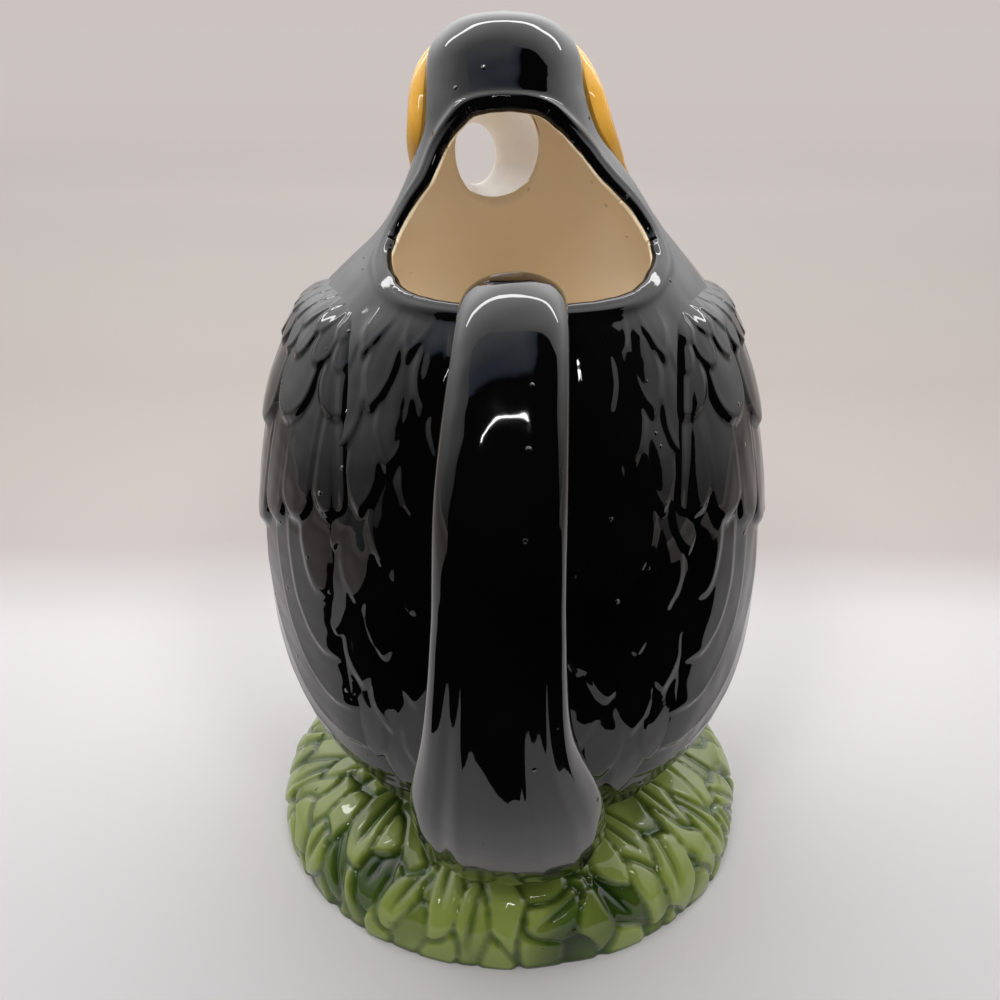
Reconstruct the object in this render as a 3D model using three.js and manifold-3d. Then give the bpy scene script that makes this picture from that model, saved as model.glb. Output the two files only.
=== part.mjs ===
// Toucan pitcher in slip-cast glazed earthenware. The bird looks along +Y, its tail handle is at -Y,
// and it stands on the floor at z = 0. Millimetres and degrees, +Z up.
import * as THREE from 'three';
import { mergeVertices } from 'three/addons/utils/BufferGeometryUtils.js';
import Module from 'manifold-3d';

const wasm = await Module();
wasm.setup();

// Joints between the castings
const SLIP_GAP = 0.3;

// Leaf base: a hollow mound on a flat foot ring
const BASE_RADIUS = 83;
const BASE_HEIGHT = 30;
const BASE_EDGE_HEIGHT = 8;
const BASE_SEAT_RADIUS = 50;
const BASE_WALL = 6;
const FOOT_TUCK = 1.2;
const FOOT_RING_WIDTH = 12;

// Body, neck and head are one lofted form. Each station is a level above the base, from the bottom up.
const BODY_WALL = 4.2;
const BODY_FLOOR = 6;
const BODY_STATIONS = [
  { rise: 0, halfWidth: 49, front: 50, back: -54, middle: 0, lean: 0.5 },
  { rise: 16, halfWidth: 64, front: 65, back: -67, middle: 1, lean: 1 },
  { rise: 40, halfWidth: 75.5, front: 76, back: -75, middle: 3, lean: 1 },
  { rise: 68, halfWidth: 79.5, front: 82, back: -75, middle: 5, lean: 0.5 },
  { rise: 95, halfWidth: 79.5, front: 83, back: -70, middle: 7, lean: 0 },
  { rise: 120, halfWidth: 76.5, front: 80, back: -62, middle: 9, lean: 0 },
  { rise: 138, halfWidth: 72, front: 75, back: -53, middle: 10, lean: 0 },
  { rise: 153, halfWidth: 65, front: 69, back: -45, middle: 11, lean: 0.5 },
  { rise: 165, halfWidth: 55, front: 63, back: -37, middle: 13, lean: 1.8 },
  { rise: 177, halfWidth: 43.5, front: 58, back: -28, middle: 15, lean: 2.8 },
  { rise: 190, halfWidth: 35.5, front: 55, back: -17, middle: 18, lean: 2 },
  { rise: 204, halfWidth: 28, front: 53, back: -6, middle: 22, lean: -0.6 },
  { rise: 217, halfWidth: 24.8, front: 51.5, back: 2, middle: 25, lean: -2.4 },
  { rise: 228, halfWidth: 22, front: 48, back: 8, middle: 27, lean: -3 },
  { rise: 234, halfWidth: 16.5, front: 43, back: 13.5, middle: 28, lean: -3 },
  { rise: 237, halfWidth: 9.5, front: 37, back: 19.5, middle: 28, lean: -3 },
  { rise: 238, halfWidth: 0, front: 28, back: 28, middle: 28, lean: -3 },
];
const CROWN_RISE = BODY_STATIONS[BODY_STATIONS.length - 1].rise;
const NECK_JOINT_RISE = 192;

// Mouth: its edge seen from the side, from the apex under the hood to the rear lip
const MOUTH_EDGE = [
  { rise: 212.8, y: -2 },
  { rise: 212.2, y: 1.2 },
  { rise: 209, y: 2 },
  { rise: 202, y: 2.6 },
  { rise: 193.5, y: 0.4 },
  { rise: 184, y: 1 },
  { rise: 178.5, y: -0.8 },
  { rise: 174, y: -7 },
  { rise: 170.5, y: -15.5 },
  { rise: 167, y: -24.7 },
  { rise: 165.7, y: -31 },
  { rise: 165, y: -42 },
];

// Wings: front and rear edges as angles round the body from straight ahead
const WING_STATIONS = [
  { rise: 164, rear: 124, front: 100 },
  { rise: 153, rear: 135, front: 74 },
  { rise: 136, rear: 141, front: 58 },
  { rise: 112, rear: 145, front: 51 },
  { rise: 84, rear: 148, front: 58 },
  { rise: 60, rear: 152, front: 74 },
  { rise: 38, rear: 156, front: 102 },
  { rise: 20, rear: 160, front: 134 },
  { rise: 12, rear: 161, front: 152 },
];
const COVERT_THICKNESS = 4.8;
const PRIMARY_THICKNESS = 2.6;
const COVERT_TIP_RISE = 87;
const COVERT_STEP = 5;
const WING_EDGE_THICKNESS = 0.9;

// Face and bib: a raised patch round the front of the head, throat and breast
const BIB_STATIONS = [
  { rise: 231, side: 66 },
  { rise: 221, side: 95 },
  { rise: 210, side: 101 },
  { rise: 199, side: 97 },
  { rise: 186, side: 74 },
  { rise: 168, side: 54 },
  { rise: 146, side: 44 },
  { rise: 130, side: 30 },
  { rise: 120, side: 10 },
];
const CHEEK_THICKNESS = 4.4;
const CHEEK_BELOW_CROWN = 27;
const CHEEK_SPREAD = 17;
const BIB_THICKNESS = 1.8;
const BIB_EDGE_THICKNESS = 0.9;

// Bill: a hollow spout from the middle of the head, turned to the bird's left and dipped
const BILL_ROOT = { y: 28, rise: 199, lean: -2.5 };
const BILL_TURN = 7.5;
const BILL_DIP = 6.3;
const BILL_WALL = 4;
const BILL_STATIONS = [
  { along: 0, halfWidth: 17.5, halfHeight: 18.5, lift: 0 },
  { along: 26, halfWidth: 18.2, halfHeight: 21, lift: 0 },
  { along: 52, halfWidth: 17.2, halfHeight: 21.5, lift: 1 },
  { along: 76, halfWidth: 15.4, halfHeight: 20, lift: 1 },
  { along: 94, halfWidth: 13.6, halfHeight: 17.5, lift: -0.5 },
  { along: 104, halfWidth: 12.6, halfHeight: 15.5, lift: -1.8 },
];

// Tail handle: a thick strap from the rear lip to the rump
const HANDLE_STATIONS = [
  { y: -24, rise: 156, bow: 0.5, width: 29, thickness: 15 },
  { y: -44, rise: 167, bow: 0, width: 29, thickness: 15 },
  { y: -64, rise: 173, bow: -0.5, width: 29, thickness: 15 },
  { y: -88, rise: 165, bow: -1, width: 29, thickness: 15.5 },
  { y: -104, rise: 141, bow: -1.8, width: 29.5, thickness: 16 },
  { y: -110, rise: 110, bow: -2.6, width: 31, thickness: 16.5 },
  { y: -107, rise: 78, bow: -3, width: 37, thickness: 17 },
  { y: -96, rise: 48, bow: -1.5, width: 50, thickness: 18 },
  { y: -78, rise: 23, bow: -0.8, width: 48, thickness: 21 },
  { y: -56, rise: 10, bow: -0.5, width: 48, thickness: 22 },
];
const STRAP_ROUNDNESS = 2.8;

// Eyes: domed discs on the cheeks
const EYE_BELOW_CROWN = 22;
const EYE_ANGLE = 50;
const EYE_RADIUS = 6;
const EYE_DEPTH = 2.4;

// Feet: pairs of toes gripping the front of the leaf base
const TOE_RADIUS = 5;
const TOE_LENGTH = 22;
const TOE_SPLAY = 11;
const TOE_SLOPE = 20;
const TOE_SPACING = 9;
const FOOT_SPREAD = 23;
const FOOT_INSET = 21;

// Glazes and clay
const GLAZES = {
  black: { color: 0x0b0b0d, roughness: 0.08, metalness: 0 },
  green: { color: 0x6f8f3c, roughness: 0.12, metalness: 0 },
  yellow: { color: 0xf0b232, roughness: 0.1, metalness: 0 },
  orange: { color: 0xe6802a, roughness: 0.1, metalness: 0 },
  grey: { color: 0x5b6470, roughness: 0.12, metalness: 0 },
};

// Mesh fineness
const RING_SIDES = 36;
const BODY_RINGS = 24;
const STRAP_SIDES = 16;
const STRAP_RINGS = 18;
const BILL_SIDES = 20;
const BILL_RINGS = 8;
const PATCH_COLUMNS = 10;
const WING_ROWS = 16;
const BIB_ROWS = 12;
const BASE_ARC_STEPS = 6;
const MOUTH_STEPS = 16;
const EYE_SIDES = 16;
const EYE_RINGS = 8;
const TOE_SIDES = 10;
const TOE_CAP_STEPS = 4;
const LAST_RING_LEVEL = 0.993;
const LEVEL_SEARCH_STEPS = 40;
const NUDGE = 1e-3;

// Patches on the body: how far their backs start inside it, and how squarely their edges drop
const PATCH_SINK = 1;
const EDGE_SQUARENESS = 6;

// Far enough to pass right through the part in any direction
const REACH = 600;

const pitcher = new THREE.Group();

// Geometry helpers

function smoothCurve(points) {
  return new THREE.CatmullRomCurve3(points, false, 'catmullrom', 0.5);
}

// Closed indexed geometry that faces outwards
function closedGeometry(points, triangles) {
  let volume = 0;
  const cross = new THREE.Vector3();
  for (const [a, b, c] of triangles) {
    volume += points[a].dot(cross.crossVectors(points[b], points[c]));
  }
  const outward = volume > 0 ? triangles : triangles.map(([a, b, c]) => [a, c, b]);
  const geometry = new THREE.BufferGeometry().setFromPoints(points);
  geometry.setIndex(outward.flat());
  return geometry;
}

// Solid through a stack of closed rings, with a fan over each end round the given end points
function ringSolid(rings, startPoint, endPoint) {
  const sides = rings[0].length;
  const points = [...rings.flat(), startPoint, endPoint];
  const startIndex = points.length - 2;
  const endIndex = points.length - 1;
  const lastRing = (rings.length - 1) * sides;
  const triangles = [];
  for (let side = 0; side < sides; side += 1) {
    const next = (side + 1) % sides;
    for (let ring = 0; ring < lastRing; ring += sides) {
      triangles.push([ring + side, ring + next, ring + sides + next]);
      triangles.push([ring + side, ring + sides + next, ring + sides + side]);
    }
    triangles.push([startIndex, next, side]);
    triangles.push([endIndex, lastRing + side, lastRing + next]);
  }
  return closedGeometry(points, triangles);
}

// Solid between an inner and an outer grid of points with the same rows and columns
function patchSolid(inner, outer) {
  const rows = inner.length;
  const columns = inner[0].length;
  const points = [...inner.flat(), ...outer.flat()];
  const at = (layer, row, column) => (layer * rows + row) * columns + column;
  const triangles = [];
  const quad = (a, b, c, d) => triangles.push([a, b, c], [a, c, d]);
  for (let row = 0; row < rows - 1; row += 1) {
    for (let column = 0; column < columns - 1; column += 1) {
      quad(at(0, row, column), at(0, row + 1, column), at(0, row + 1, column + 1), at(0, row, column + 1));
      quad(at(1, row, column), at(1, row, column + 1), at(1, row + 1, column + 1), at(1, row + 1, column));
    }
    const last = columns - 1;
    quad(at(0, row, 0), at(1, row, 0), at(1, row + 1, 0), at(0, row + 1, 0));
    quad(at(0, row, last), at(0, row + 1, last), at(1, row + 1, last), at(1, row, last));
  }
  for (let column = 0; column < columns - 1; column += 1) {
    const last = rows - 1;
    quad(at(0, 0, column), at(0, 0, column + 1), at(1, 0, column + 1), at(1, 0, column));
    quad(at(0, last, column), at(1, last, column), at(1, last, column + 1), at(0, last, column + 1));
  }
  return closedGeometry(points, triangles);
}

function solidOf(geometry) {
  const bare = geometry.clone();
  bare.deleteAttribute('normal');
  bare.deleteAttribute('uv');
  const merged = mergeVertices(bare);
  const vertProperties = Float32Array.from(merged.attributes.position.array);
  const triVerts = Uint32Array.from(merged.index.array);
  return new wasm.Manifold(new wasm.Mesh({ numProp: 3, vertProperties, triVerts }));
}

function geometryOf(solid) {
  const mesh = solid.getMesh();
  const geometry = new THREE.BufferGeometry();
  geometry.setAttribute('position', new THREE.BufferAttribute(mesh.vertProperties, 3));
  geometry.setIndex(new THREE.BufferAttribute(mesh.triVerts, 1));
  return geometry;
}

function addPart(name, glaze, geometry) {
  geometry.computeVertexNormals();
  const mesh = new THREE.Mesh(geometry, new THREE.MeshStandardMaterial(GLAZES[glaze]));
  mesh.name = name;
  pitcher.add(mesh);
}

// Body form

const bodySizes = smoothCurve(BODY_STATIONS.map((s) => new THREE.Vector3(s.halfWidth, s.front, s.back)));
const bodyPlaces = smoothCurve(BODY_STATIONS.map((s) => new THREE.Vector3(s.lean, s.middle, s.rise)));
const SEAT_LEVEL = BASE_HEIGHT + SLIP_GAP;

// Position along the stations, 0 to 1, at a level above the seat
function levelAt(rise) {
  let low = 0;
  let high = 1;
  for (let step = 0; step < LEVEL_SEARCH_STEPS; step += 1) {
    const middle = (low + high) / 2;
    if (bodyPlaces.getPoint(middle).z < rise) {
      low = middle;
    } else {
      high = middle;
    }
  }
  return (low + high) / 2;
}

function bodySurface(level, angle) {
  const size = bodySizes.getPoint(level);
  const place = bodyPlaces.getPoint(level);
  const ahead = Math.cos(angle);
  const reach = ahead > 0 ? size.y - place.y : place.y - size.z;
  return new THREE.Vector3(
    place.x + size.x * Math.sin(angle),
    place.y + reach * ahead,
    SEAT_LEVEL + place.z,
  );
}

// Point on the body form moved outwards by a distance along the surface normal
function bodyPoint(level, angle, outwards) {
  const below = bodySurface(Math.max(level - NUDGE, 0), angle);
  const above = bodySurface(Math.min(level + NUDGE, 1), angle);
  const before = bodySurface(level, angle - NUDGE);
  const after = bodySurface(level, angle + NUDGE);
  const normal = before.sub(after).cross(above.sub(below)).normalize();
  return bodySurface(level, angle).addScaledVector(normal, outwards);
}

// Closed solid of the body form from a level to the crown, moved outwards by a distance
function bodySolid(fromLevel, outwards) {
  const rings = [];
  for (let ring = 0; ring <= BODY_RINGS; ring += 1) {
    const level = THREE.MathUtils.lerp(fromLevel, LAST_RING_LEVEL, ring / BODY_RINGS);
    const points = [];
    for (let side = 0; side < RING_SIDES; side += 1) {
      points.push(bodyPoint(level, (2 * Math.PI * side) / RING_SIDES, outwards));
    }
    rings.push(points);
  }
  const crown = bodySurface(1, 0);
  crown.z += outwards;
  const floor = new THREE.Vector3();
  for (const point of rings[0]) {
    floor.addScaledVector(point, 1 / RING_SIDES);
  }
  return solidOf(ringSolid(rings, floor, crown));
}

// Everything above or below a level, as a large box
function slabOfSpace(low, high) {
  const box = new THREE.BoxGeometry(REACH, REACH, high - low);
  box.translate(0, 0, (low + high) / 2);
  return solidOf(box);
}

// Space swept out by the mouth, from its edge backwards
function mouthSpace() {
  const edge = MOUTH_EDGE.map((point) => new THREE.Vector2(point.y, SEAT_LEVEL + point.rise));
  const outline = new THREE.Shape();
  outline.moveTo(-REACH, edge[0].y);
  outline.lineTo(edge[0].x, edge[0].y);
  outline.splineThru(edge.slice(1));
  outline.lineTo(-REACH, edge[edge.length - 1].y);
  const settings = { depth: REACH, bevelEnabled: false, curveSegments: MOUTH_STEPS };
  const space = new THREE.ExtrudeGeometry(outline, settings);
  space.translate(0, 0, -REACH / 2);
  const sideways = new THREE.Vector3(1, 0, 0);
  const forwards = new THREE.Vector3(0, 1, 0);
  const upwards = new THREE.Vector3(0, 0, 1);
  space.applyMatrix4(new THREE.Matrix4().makeBasis(forwards, upwards, sideways));
  return solidOf(space);
}

// Bill form

const billSizes = smoothCurve(BILL_STATIONS.map((s) => new THREE.Vector3(s.halfWidth, s.halfHeight, 0)));
const billPlaces = smoothCurve(BILL_STATIONS.map((s) => new THREE.Vector3(0, s.along, s.lift)));
const BILL_LENGTH = BILL_STATIONS[BILL_STATIONS.length - 1].along;

// Closed solid of the bill form, moved outwards, with its tip end lengthened
function billSolid(outwards, beyondTip) {
  const rings = [];
  for (let ring = 0; ring <= BILL_RINGS; ring += 1) {
    const size = billSizes.getPoint(ring / BILL_RINGS);
    const place = billPlaces.getPoint(ring / BILL_RINGS);
    place.y += (beyondTip * place.y) / BILL_LENGTH;
    const points = [];
    for (let side = 0; side < BILL_SIDES; side += 1) {
      const angle = (2 * Math.PI * side) / BILL_SIDES;
      const across = (size.x + outwards) * Math.cos(angle);
      const up = (size.y + outwards) * Math.sin(angle);
      points.push(new THREE.Vector3(across, place.y, place.z + up));
    }
    rings.push(points);
  }
  const root = billPlaces.getPoint(0);
  const tip = billPlaces.getPoint(1);
  tip.y += beyondTip;
  const geometry = ringSolid(rings, root, tip);
  geometry.rotateX(-THREE.MathUtils.degToRad(BILL_DIP));
  geometry.rotateZ(THREE.MathUtils.degToRad(BILL_TURN));
  geometry.translate(BILL_ROOT.lean, BILL_ROOT.y, SEAT_LEVEL + BILL_ROOT.rise);
  return solidOf(geometry);
}

// Leaf base form

// Half outline of the mound from the foot to the middle of the top
function baseOutline(outwards) {
  const radius = BASE_RADIUS + outwards;
  const top = BASE_HEIGHT + outwards;
  const points = [
    new THREE.Vector2(radius - FOOT_TUCK, 0),
    new THREE.Vector2(radius - FOOT_TUCK / 4, BASE_EDGE_HEIGHT / 2),
  ];
  for (let step = 0; step <= BASE_ARC_STEPS; step += 1) {
    const turn = (step / BASE_ARC_STEPS) * (Math.PI / 2);
    points.push(new THREE.Vector2(
      BASE_SEAT_RADIUS + (radius - BASE_SEAT_RADIUS) * Math.cos(turn),
      BASE_EDGE_HEIGHT + (top - BASE_EDGE_HEIGHT) * Math.sin(turn),
    ));
  }
  points.push(new THREE.Vector2(0, top));
  return points;
}

function latheUpright(points) {
  const geometry = new THREE.LatheGeometry(points, RING_SIDES);
  geometry.rotateX(Math.PI / 2);
  return geometry;
}

// The filled mound, for cutting what stands on it
function baseSolid(outwards) {
  return solidOf(latheUpright([new THREE.Vector2(0, 0), ...baseOutline(outwards)]));
}

function makeLeafBase() {
  const ringInside = BASE_RADIUS - FOOT_TUCK - FOOT_RING_WIDTH;
  const hollowTop = BASE_HEIGHT - BASE_WALL;
  const hollow = [new THREE.Vector2(0, hollowTop)];
  for (let step = BASE_ARC_STEPS; step >= 0; step -= 1) {
    const turn = (step / BASE_ARC_STEPS) * (Math.PI / 2);
    hollow.push(new THREE.Vector2(
      BASE_SEAT_RADIUS - BASE_WALL + (ringInside - BASE_SEAT_RADIUS + BASE_WALL) * Math.cos(turn),
      hollowTop * Math.sin(turn),
    ));
  }
  return geometryOf(solidOf(latheUpright([...hollow, ...baseOutline(0)])));
}

// Body shell and head hood share one hollow form, parted at the neck joint
function makeShells() {
  const hollow = bodySolid(levelAt(BODY_FLOOR), -BODY_WALL);
  const bore = billSolid(-BILL_WALL, 0);
  const shell = bodySolid(0, 0).subtract(hollow).subtract(mouthSpace()).subtract(bore);
  const joint = SEAT_LEVEL + NECK_JOINT_RISE;
  return {
    body: geometryOf(shell.subtract(slabOfSpace(joint, REACH))),
    head: geometryOf(shell.subtract(slabOfSpace(-REACH, joint + SLIP_GAP))),
  };
}

function makeBill() {
  const outside = billSolid(0, 0);
  const bore = billSolid(-BILL_WALL, 1);
  return geometryOf(outside.subtract(bore).subtract(bodySolid(0, SLIP_GAP)));
}

// Patch laid on the body form between two angles, with its own thickness at each row and column.
// Its back is sunk into the form, for the form to trim, so that it follows every facet.
function bodyPatch(rows, levelOf, anglesOf, thicknessOf) {
  const inner = [];
  const outer = [];
  for (let row = 0; row <= rows; row += 1) {
    const level = levelOf(row / rows);
    const [start, end] = anglesOf(row / rows);
    const innerRow = [];
    const outerRow = [];
    for (let column = 0; column <= PATCH_COLUMNS; column += 1) {
      const across = column / PATCH_COLUMNS;
      const angle = THREE.MathUtils.degToRad(THREE.MathUtils.lerp(start, end, across));
      innerRow.push(bodyPoint(level, angle, -PATCH_SINK));
      outerRow.push(bodyPoint(level, angle, SLIP_GAP + thicknessOf(row / rows, across)));
    }
    inner.push(innerRow);
    outer.push(outerRow);
  }
  return solidOf(patchSolid(inner, outer));
}

// 0 at both ends of a stretch, rising quickly to 1 between them
function edgeFade(share) {
  return Math.sqrt(Math.max(0, 1 - (2 * share - 1) ** EDGE_SQUARENESS));
}

// Wing on one side: 1 is the bird's right, -1 its left
function makeWing(side) {
  const edges = smoothCurve(WING_STATIONS.map((s) => new THREE.Vector3(s.rear, s.front, s.rise)));
  const levelOf = (down) => levelAt(edges.getPoint(down).z);
  const anglesOf = (down) => {
    const edge = edges.getPoint(down);
    return [side * edge.x, side * edge.y];
  };
  const thicknessOf = (down, across) => {
    const aboveTips = edges.getPoint(down).z - COVERT_TIP_RISE;
    const covert = THREE.MathUtils.smoothstep(aboveTips, 0, COVERT_STEP);
    const full = THREE.MathUtils.lerp(PRIMARY_THICKNESS, COVERT_THICKNESS, covert);
    const fade = edgeFade(across) * edgeFade(down);
    return THREE.MathUtils.lerp(WING_EDGE_THICKNESS, full, fade);
  };
  const patch = bodyPatch(WING_ROWS, levelOf, anglesOf, thicknessOf);
  return geometryOf(patch.subtract(bodySolid(0, SLIP_GAP)).subtract(strapSolid(SLIP_GAP)));
}

function bibThickness(rise) {
  const aboveCheek = rise - CROWN_RISE + CHEEK_BELOW_CROWN;
  const cheek = Math.max(0, 1 - (aboveCheek / CHEEK_SPREAD) ** 2);
  return THREE.MathUtils.lerp(BIB_THICKNESS, CHEEK_THICKNESS, cheek);
}

// Bib before it is trimmed, thickened by a clearance
function bibPatch(clearance) {
  const edges = smoothCurve(BIB_STATIONS.map((s) => new THREE.Vector3(s.side, 0, s.rise)));
  const levelOf = (down) => levelAt(edges.getPoint(down).z);
  const anglesOf = (down) => {
    const side = edges.getPoint(down).x;
    return [-side, side];
  };
  const thicknessOf = (down, across) => {
    const full = bibThickness(edges.getPoint(down).z);
    const fade = edgeFade(across) * edgeFade(down);
    return THREE.MathUtils.lerp(BIB_EDGE_THICKNESS, full, fade) + clearance;
  };
  return bodyPatch(BIB_ROWS, levelOf, anglesOf, thicknessOf);
}

function makeBib() {
  const bib = bibPatch(0).subtract(bodySolid(0, SLIP_GAP));
  return geometryOf(bib.subtract(billSolid(SLIP_GAP, 0)));
}

// Closed solid of the whole strap, moved outwards by a distance
function strapSolid(outwards) {
  const places = smoothCurve(HANDLE_STATIONS.map((s) => new THREE.Vector3(s.bow, s.y, SEAT_LEVEL + s.rise)));
  const sizes = smoothCurve(HANDLE_STATIONS.map((s) => new THREE.Vector3(s.width / 2, s.thickness / 2, 0)));
  const sideways = new THREE.Vector3(1, 0, 0);
  const rings = [];
  for (let ring = 0; ring <= STRAP_RINGS; ring += 1) {
    const place = places.getPoint(ring / STRAP_RINGS);
    const size = sizes.getPoint(ring / STRAP_RINGS);
    const backwards = places.getTangent(ring / STRAP_RINGS).cross(sideways).normalize();
    const points = [];
    for (let side = 0; side < STRAP_SIDES; side += 1) {
      const angle = (2 * Math.PI * side) / STRAP_SIDES;
      const rounded = (value) => Math.sign(value) * Math.abs(value) ** (2 / STRAP_ROUNDNESS);
      const point = place.clone();
      point.addScaledVector(sideways, (size.x + outwards) * rounded(Math.cos(angle)));
      point.addScaledVector(backwards, (size.y + outwards) * rounded(Math.sin(angle)));
      points.push(point);
    }
    rings.push(points);
  }
  return solidOf(ringSolid(rings, places.getPoint(0), places.getPoint(1)));
}

function makeHandle() {
  return geometryOf(strapSolid(0).subtract(bodySolid(0, SLIP_GAP)).subtract(baseSolid(SLIP_GAP)));
}

// Eye on one side: a flattened dome seated on the cheek
function makeEye(side) {
  const rise = CROWN_RISE - EYE_BELOW_CROWN;
  const level = levelAt(rise);
  const angle = side * THREE.MathUtils.degToRad(EYE_ANGLE);
  const seat = SLIP_GAP + bibThickness(rise) + SLIP_GAP;
  const centre = bodyPoint(level, angle, seat);
  const outwards = bodyPoint(level, angle, seat + 1).sub(centre);
  const dome = new THREE.SphereGeometry(EYE_RADIUS, EYE_SIDES, EYE_RINGS);
  dome.scale(1, EYE_DEPTH / EYE_RADIUS, 1);
  const turn = new THREE.Quaternion().setFromUnitVectors(new THREE.Vector3(0, 1, 0), outwards.normalize());
  dome.applyQuaternion(turn);
  dome.translate(centre.x, centre.y, centre.z);
  const eye = solidOf(dome).subtract(bibPatch(SLIP_GAP)).subtract(bodySolid(0, SLIP_GAP));
  return geometryOf(eye.subtract(billSolid(SLIP_GAP, 0)));
}

// Foot on one side: two toes that lie over the front of the mound
function makeFoot(side) {
  const toes = [-1, 1].map((which) => {
    const toe = new THREE.CapsuleGeometry(TOE_RADIUS, TOE_LENGTH, TOE_CAP_STEPS, TOE_SIDES);
    toe.rotateX(-THREE.MathUtils.degToRad(TOE_SLOPE));
    toe.rotateZ(-which * THREE.MathUtils.degToRad(TOE_SPLAY));
    const across = side * FOOT_SPREAD + which * TOE_SPACING / 2;
    toe.translate(across, BASE_RADIUS - FOOT_INSET, BASE_HEIGHT);
    return solidOf(toe);
  });
  const foot = toes[0].add(toes[1]);
  return geometryOf(foot.subtract(bodySolid(0, SLIP_GAP)).subtract(baseSolid(SLIP_GAP)));
}

const shells = makeShells();
addPart('leaf_base', 'green', makeLeafBase());
addPart('body_shell', 'black', shells.body);
addPart('head_hood', 'black', shells.head);
addPart('face_bib', 'yellow', makeBib());
addPart('bill_spout', 'orange', makeBill());
addPart('tail_handle', 'black', makeHandle());
addPart('left_wing', 'black', makeWing(-1));
addPart('right_wing', 'black', makeWing(1));
addPart('left_eye', 'black', makeEye(-1));
addPart('right_eye', 'black', makeEye(1));
addPart('left_foot', 'grey', makeFoot(-1));
addPart('right_foot', 'grey', makeFoot(1));

// The origin lies on the floor under the middle of the whole outline
const middle = new THREE.Box3().setFromObject(pitcher).getCenter(new THREE.Vector3());
pitcher.position.set(-middle.x, -middle.y, 0);

export default pitcher;
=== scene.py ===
"""Toucan pitcher in glazed earthenware, standing on a mound of leaves. Shapes are worked out in
millimetres with the bird looking along +Y, and put into the part's frame in metres."""

import math

import bmesh
import bpy
import numpy as np
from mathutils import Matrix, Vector


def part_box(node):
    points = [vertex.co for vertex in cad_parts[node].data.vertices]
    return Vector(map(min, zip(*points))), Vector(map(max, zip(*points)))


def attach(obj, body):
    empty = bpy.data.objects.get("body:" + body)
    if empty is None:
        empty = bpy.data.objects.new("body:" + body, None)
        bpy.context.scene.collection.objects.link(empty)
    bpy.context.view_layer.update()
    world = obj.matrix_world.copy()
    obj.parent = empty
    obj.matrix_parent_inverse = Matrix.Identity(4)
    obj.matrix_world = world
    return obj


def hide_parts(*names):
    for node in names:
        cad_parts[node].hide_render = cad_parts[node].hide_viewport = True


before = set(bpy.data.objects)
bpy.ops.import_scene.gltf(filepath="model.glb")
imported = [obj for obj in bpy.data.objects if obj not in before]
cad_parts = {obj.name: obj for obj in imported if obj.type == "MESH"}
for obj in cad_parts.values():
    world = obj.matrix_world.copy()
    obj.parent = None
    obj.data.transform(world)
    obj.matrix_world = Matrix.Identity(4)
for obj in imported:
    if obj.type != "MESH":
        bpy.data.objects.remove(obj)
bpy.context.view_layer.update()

# Frame and units
WELD_GAP = 1e-6
MM = 0.001
base_low, base_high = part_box("leaf_base")
HOME = np.array([(base_low[0] + base_high[0]) / 2, (base_low[1] + base_high[1]) / 2, 0.0]) / MM

# Leaf base
BASE_RADIUS = 83.0
BASE_HEIGHT = 30.0
BASE_EDGE_HEIGHT = 8.0
BASE_SEAT_RADIUS = 50.0
BASE_WALL = 6.0
FOOT_TUCK = 1.2
FOOT_RING_WIDTH = 12.0
SLIP_JOINT = 0.3
SEAT_LEVEL = BASE_HEIGHT + SLIP_JOINT

# Body form: rise, half width, front, back, middle and lean of each station
BODY_WALL = 4.2
BODY_FLOOR = 6.0
BODY_STATIONS = (
    (0, 49, 50, -54, 0, 0.5),
    (16, 64, 65, -67, 1, 1),
    (40, 75.5, 76, -75, 3, 1),
    (68, 79.5, 82, -75, 5, 0.5),
    (95, 79.5, 83, -70, 7, 0),
    (120, 76.5, 80, -62, 9, 0),
    (138, 72, 75, -53, 10, 0),
    (153, 65, 69, -45, 11, 0.5),
    (165, 55, 63, -37, 13, 1.8),
    (177, 43.5, 58, -28, 15, 2.8),
    (190, 35.5, 55, -17, 18, 2),
    (204, 28, 53, -6, 22, -0.6),
    (217, 24.8, 51.5, 2, 25, -2.4),
    (228, 22, 48, 8, 27, -3),
    (234, 16.5, 43, 13.5, 28, -3),
    (237, 9.5, 37, 19.5, 28, -3),
    (238, 0, 28, 28, 28, -3),
)
CROWN_LEVEL = 0.995
BODY_ROW_STEP = 0.75

# Mouth edge seen from the side: rise and y
MOUTH_EDGE = (
    (212.8, -2),
    (212.2, 1.2),
    (209, 2),
    (202, 2.6),
    (193.5, 0.4),
    (184, 1),
    (178.5, -0.8),
    (174, -7),
    (170.5, -15.5),
    (167, -24.7),
    (165.7, -31),
    (165, -42),
)

# Wing edges: rise, rear angle and front angle
WING_STATIONS = (
    (166, 126, 98),
    (153, 136.5, 74),
    (136, 142.5, 58),
    (112, 146.5, 51),
    (84, 149, 58),
    (60, 152, 74),
    (38, 156, 102),
    (20, 160, 134),
    (12, 161, 152),
)

# Face and bib edge: rise and side angle
BIB_STATIONS = ((231, 66), (221, 95), (212, 100.5), (203, 96), (190, 74), (169, 54), (146, 44), (130, 30),
                (122.5, 17), (119.5, 4))

# Bill: place and turn of its axis, then along, half width, half height and lift of each station
BILL_ROOT = np.array([-2.5, 28.0, SEAT_LEVEL + 199.0])
BILL_TURN = math.radians(7.5)
BILL_DIP = math.radians(6.3)
BILL_WALL = 4.0
BILL_STATIONS = (
    (0, 17.5, 18.5, 0),
    (26, 18.2, 21, 0),
    (52, 17.2, 21.5, 1),
    (76, 15.4, 20, 1),
    (94, 13.6, 17.5, -0.5),
    (104, 12.6, 15.5, -1.8),
)

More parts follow.
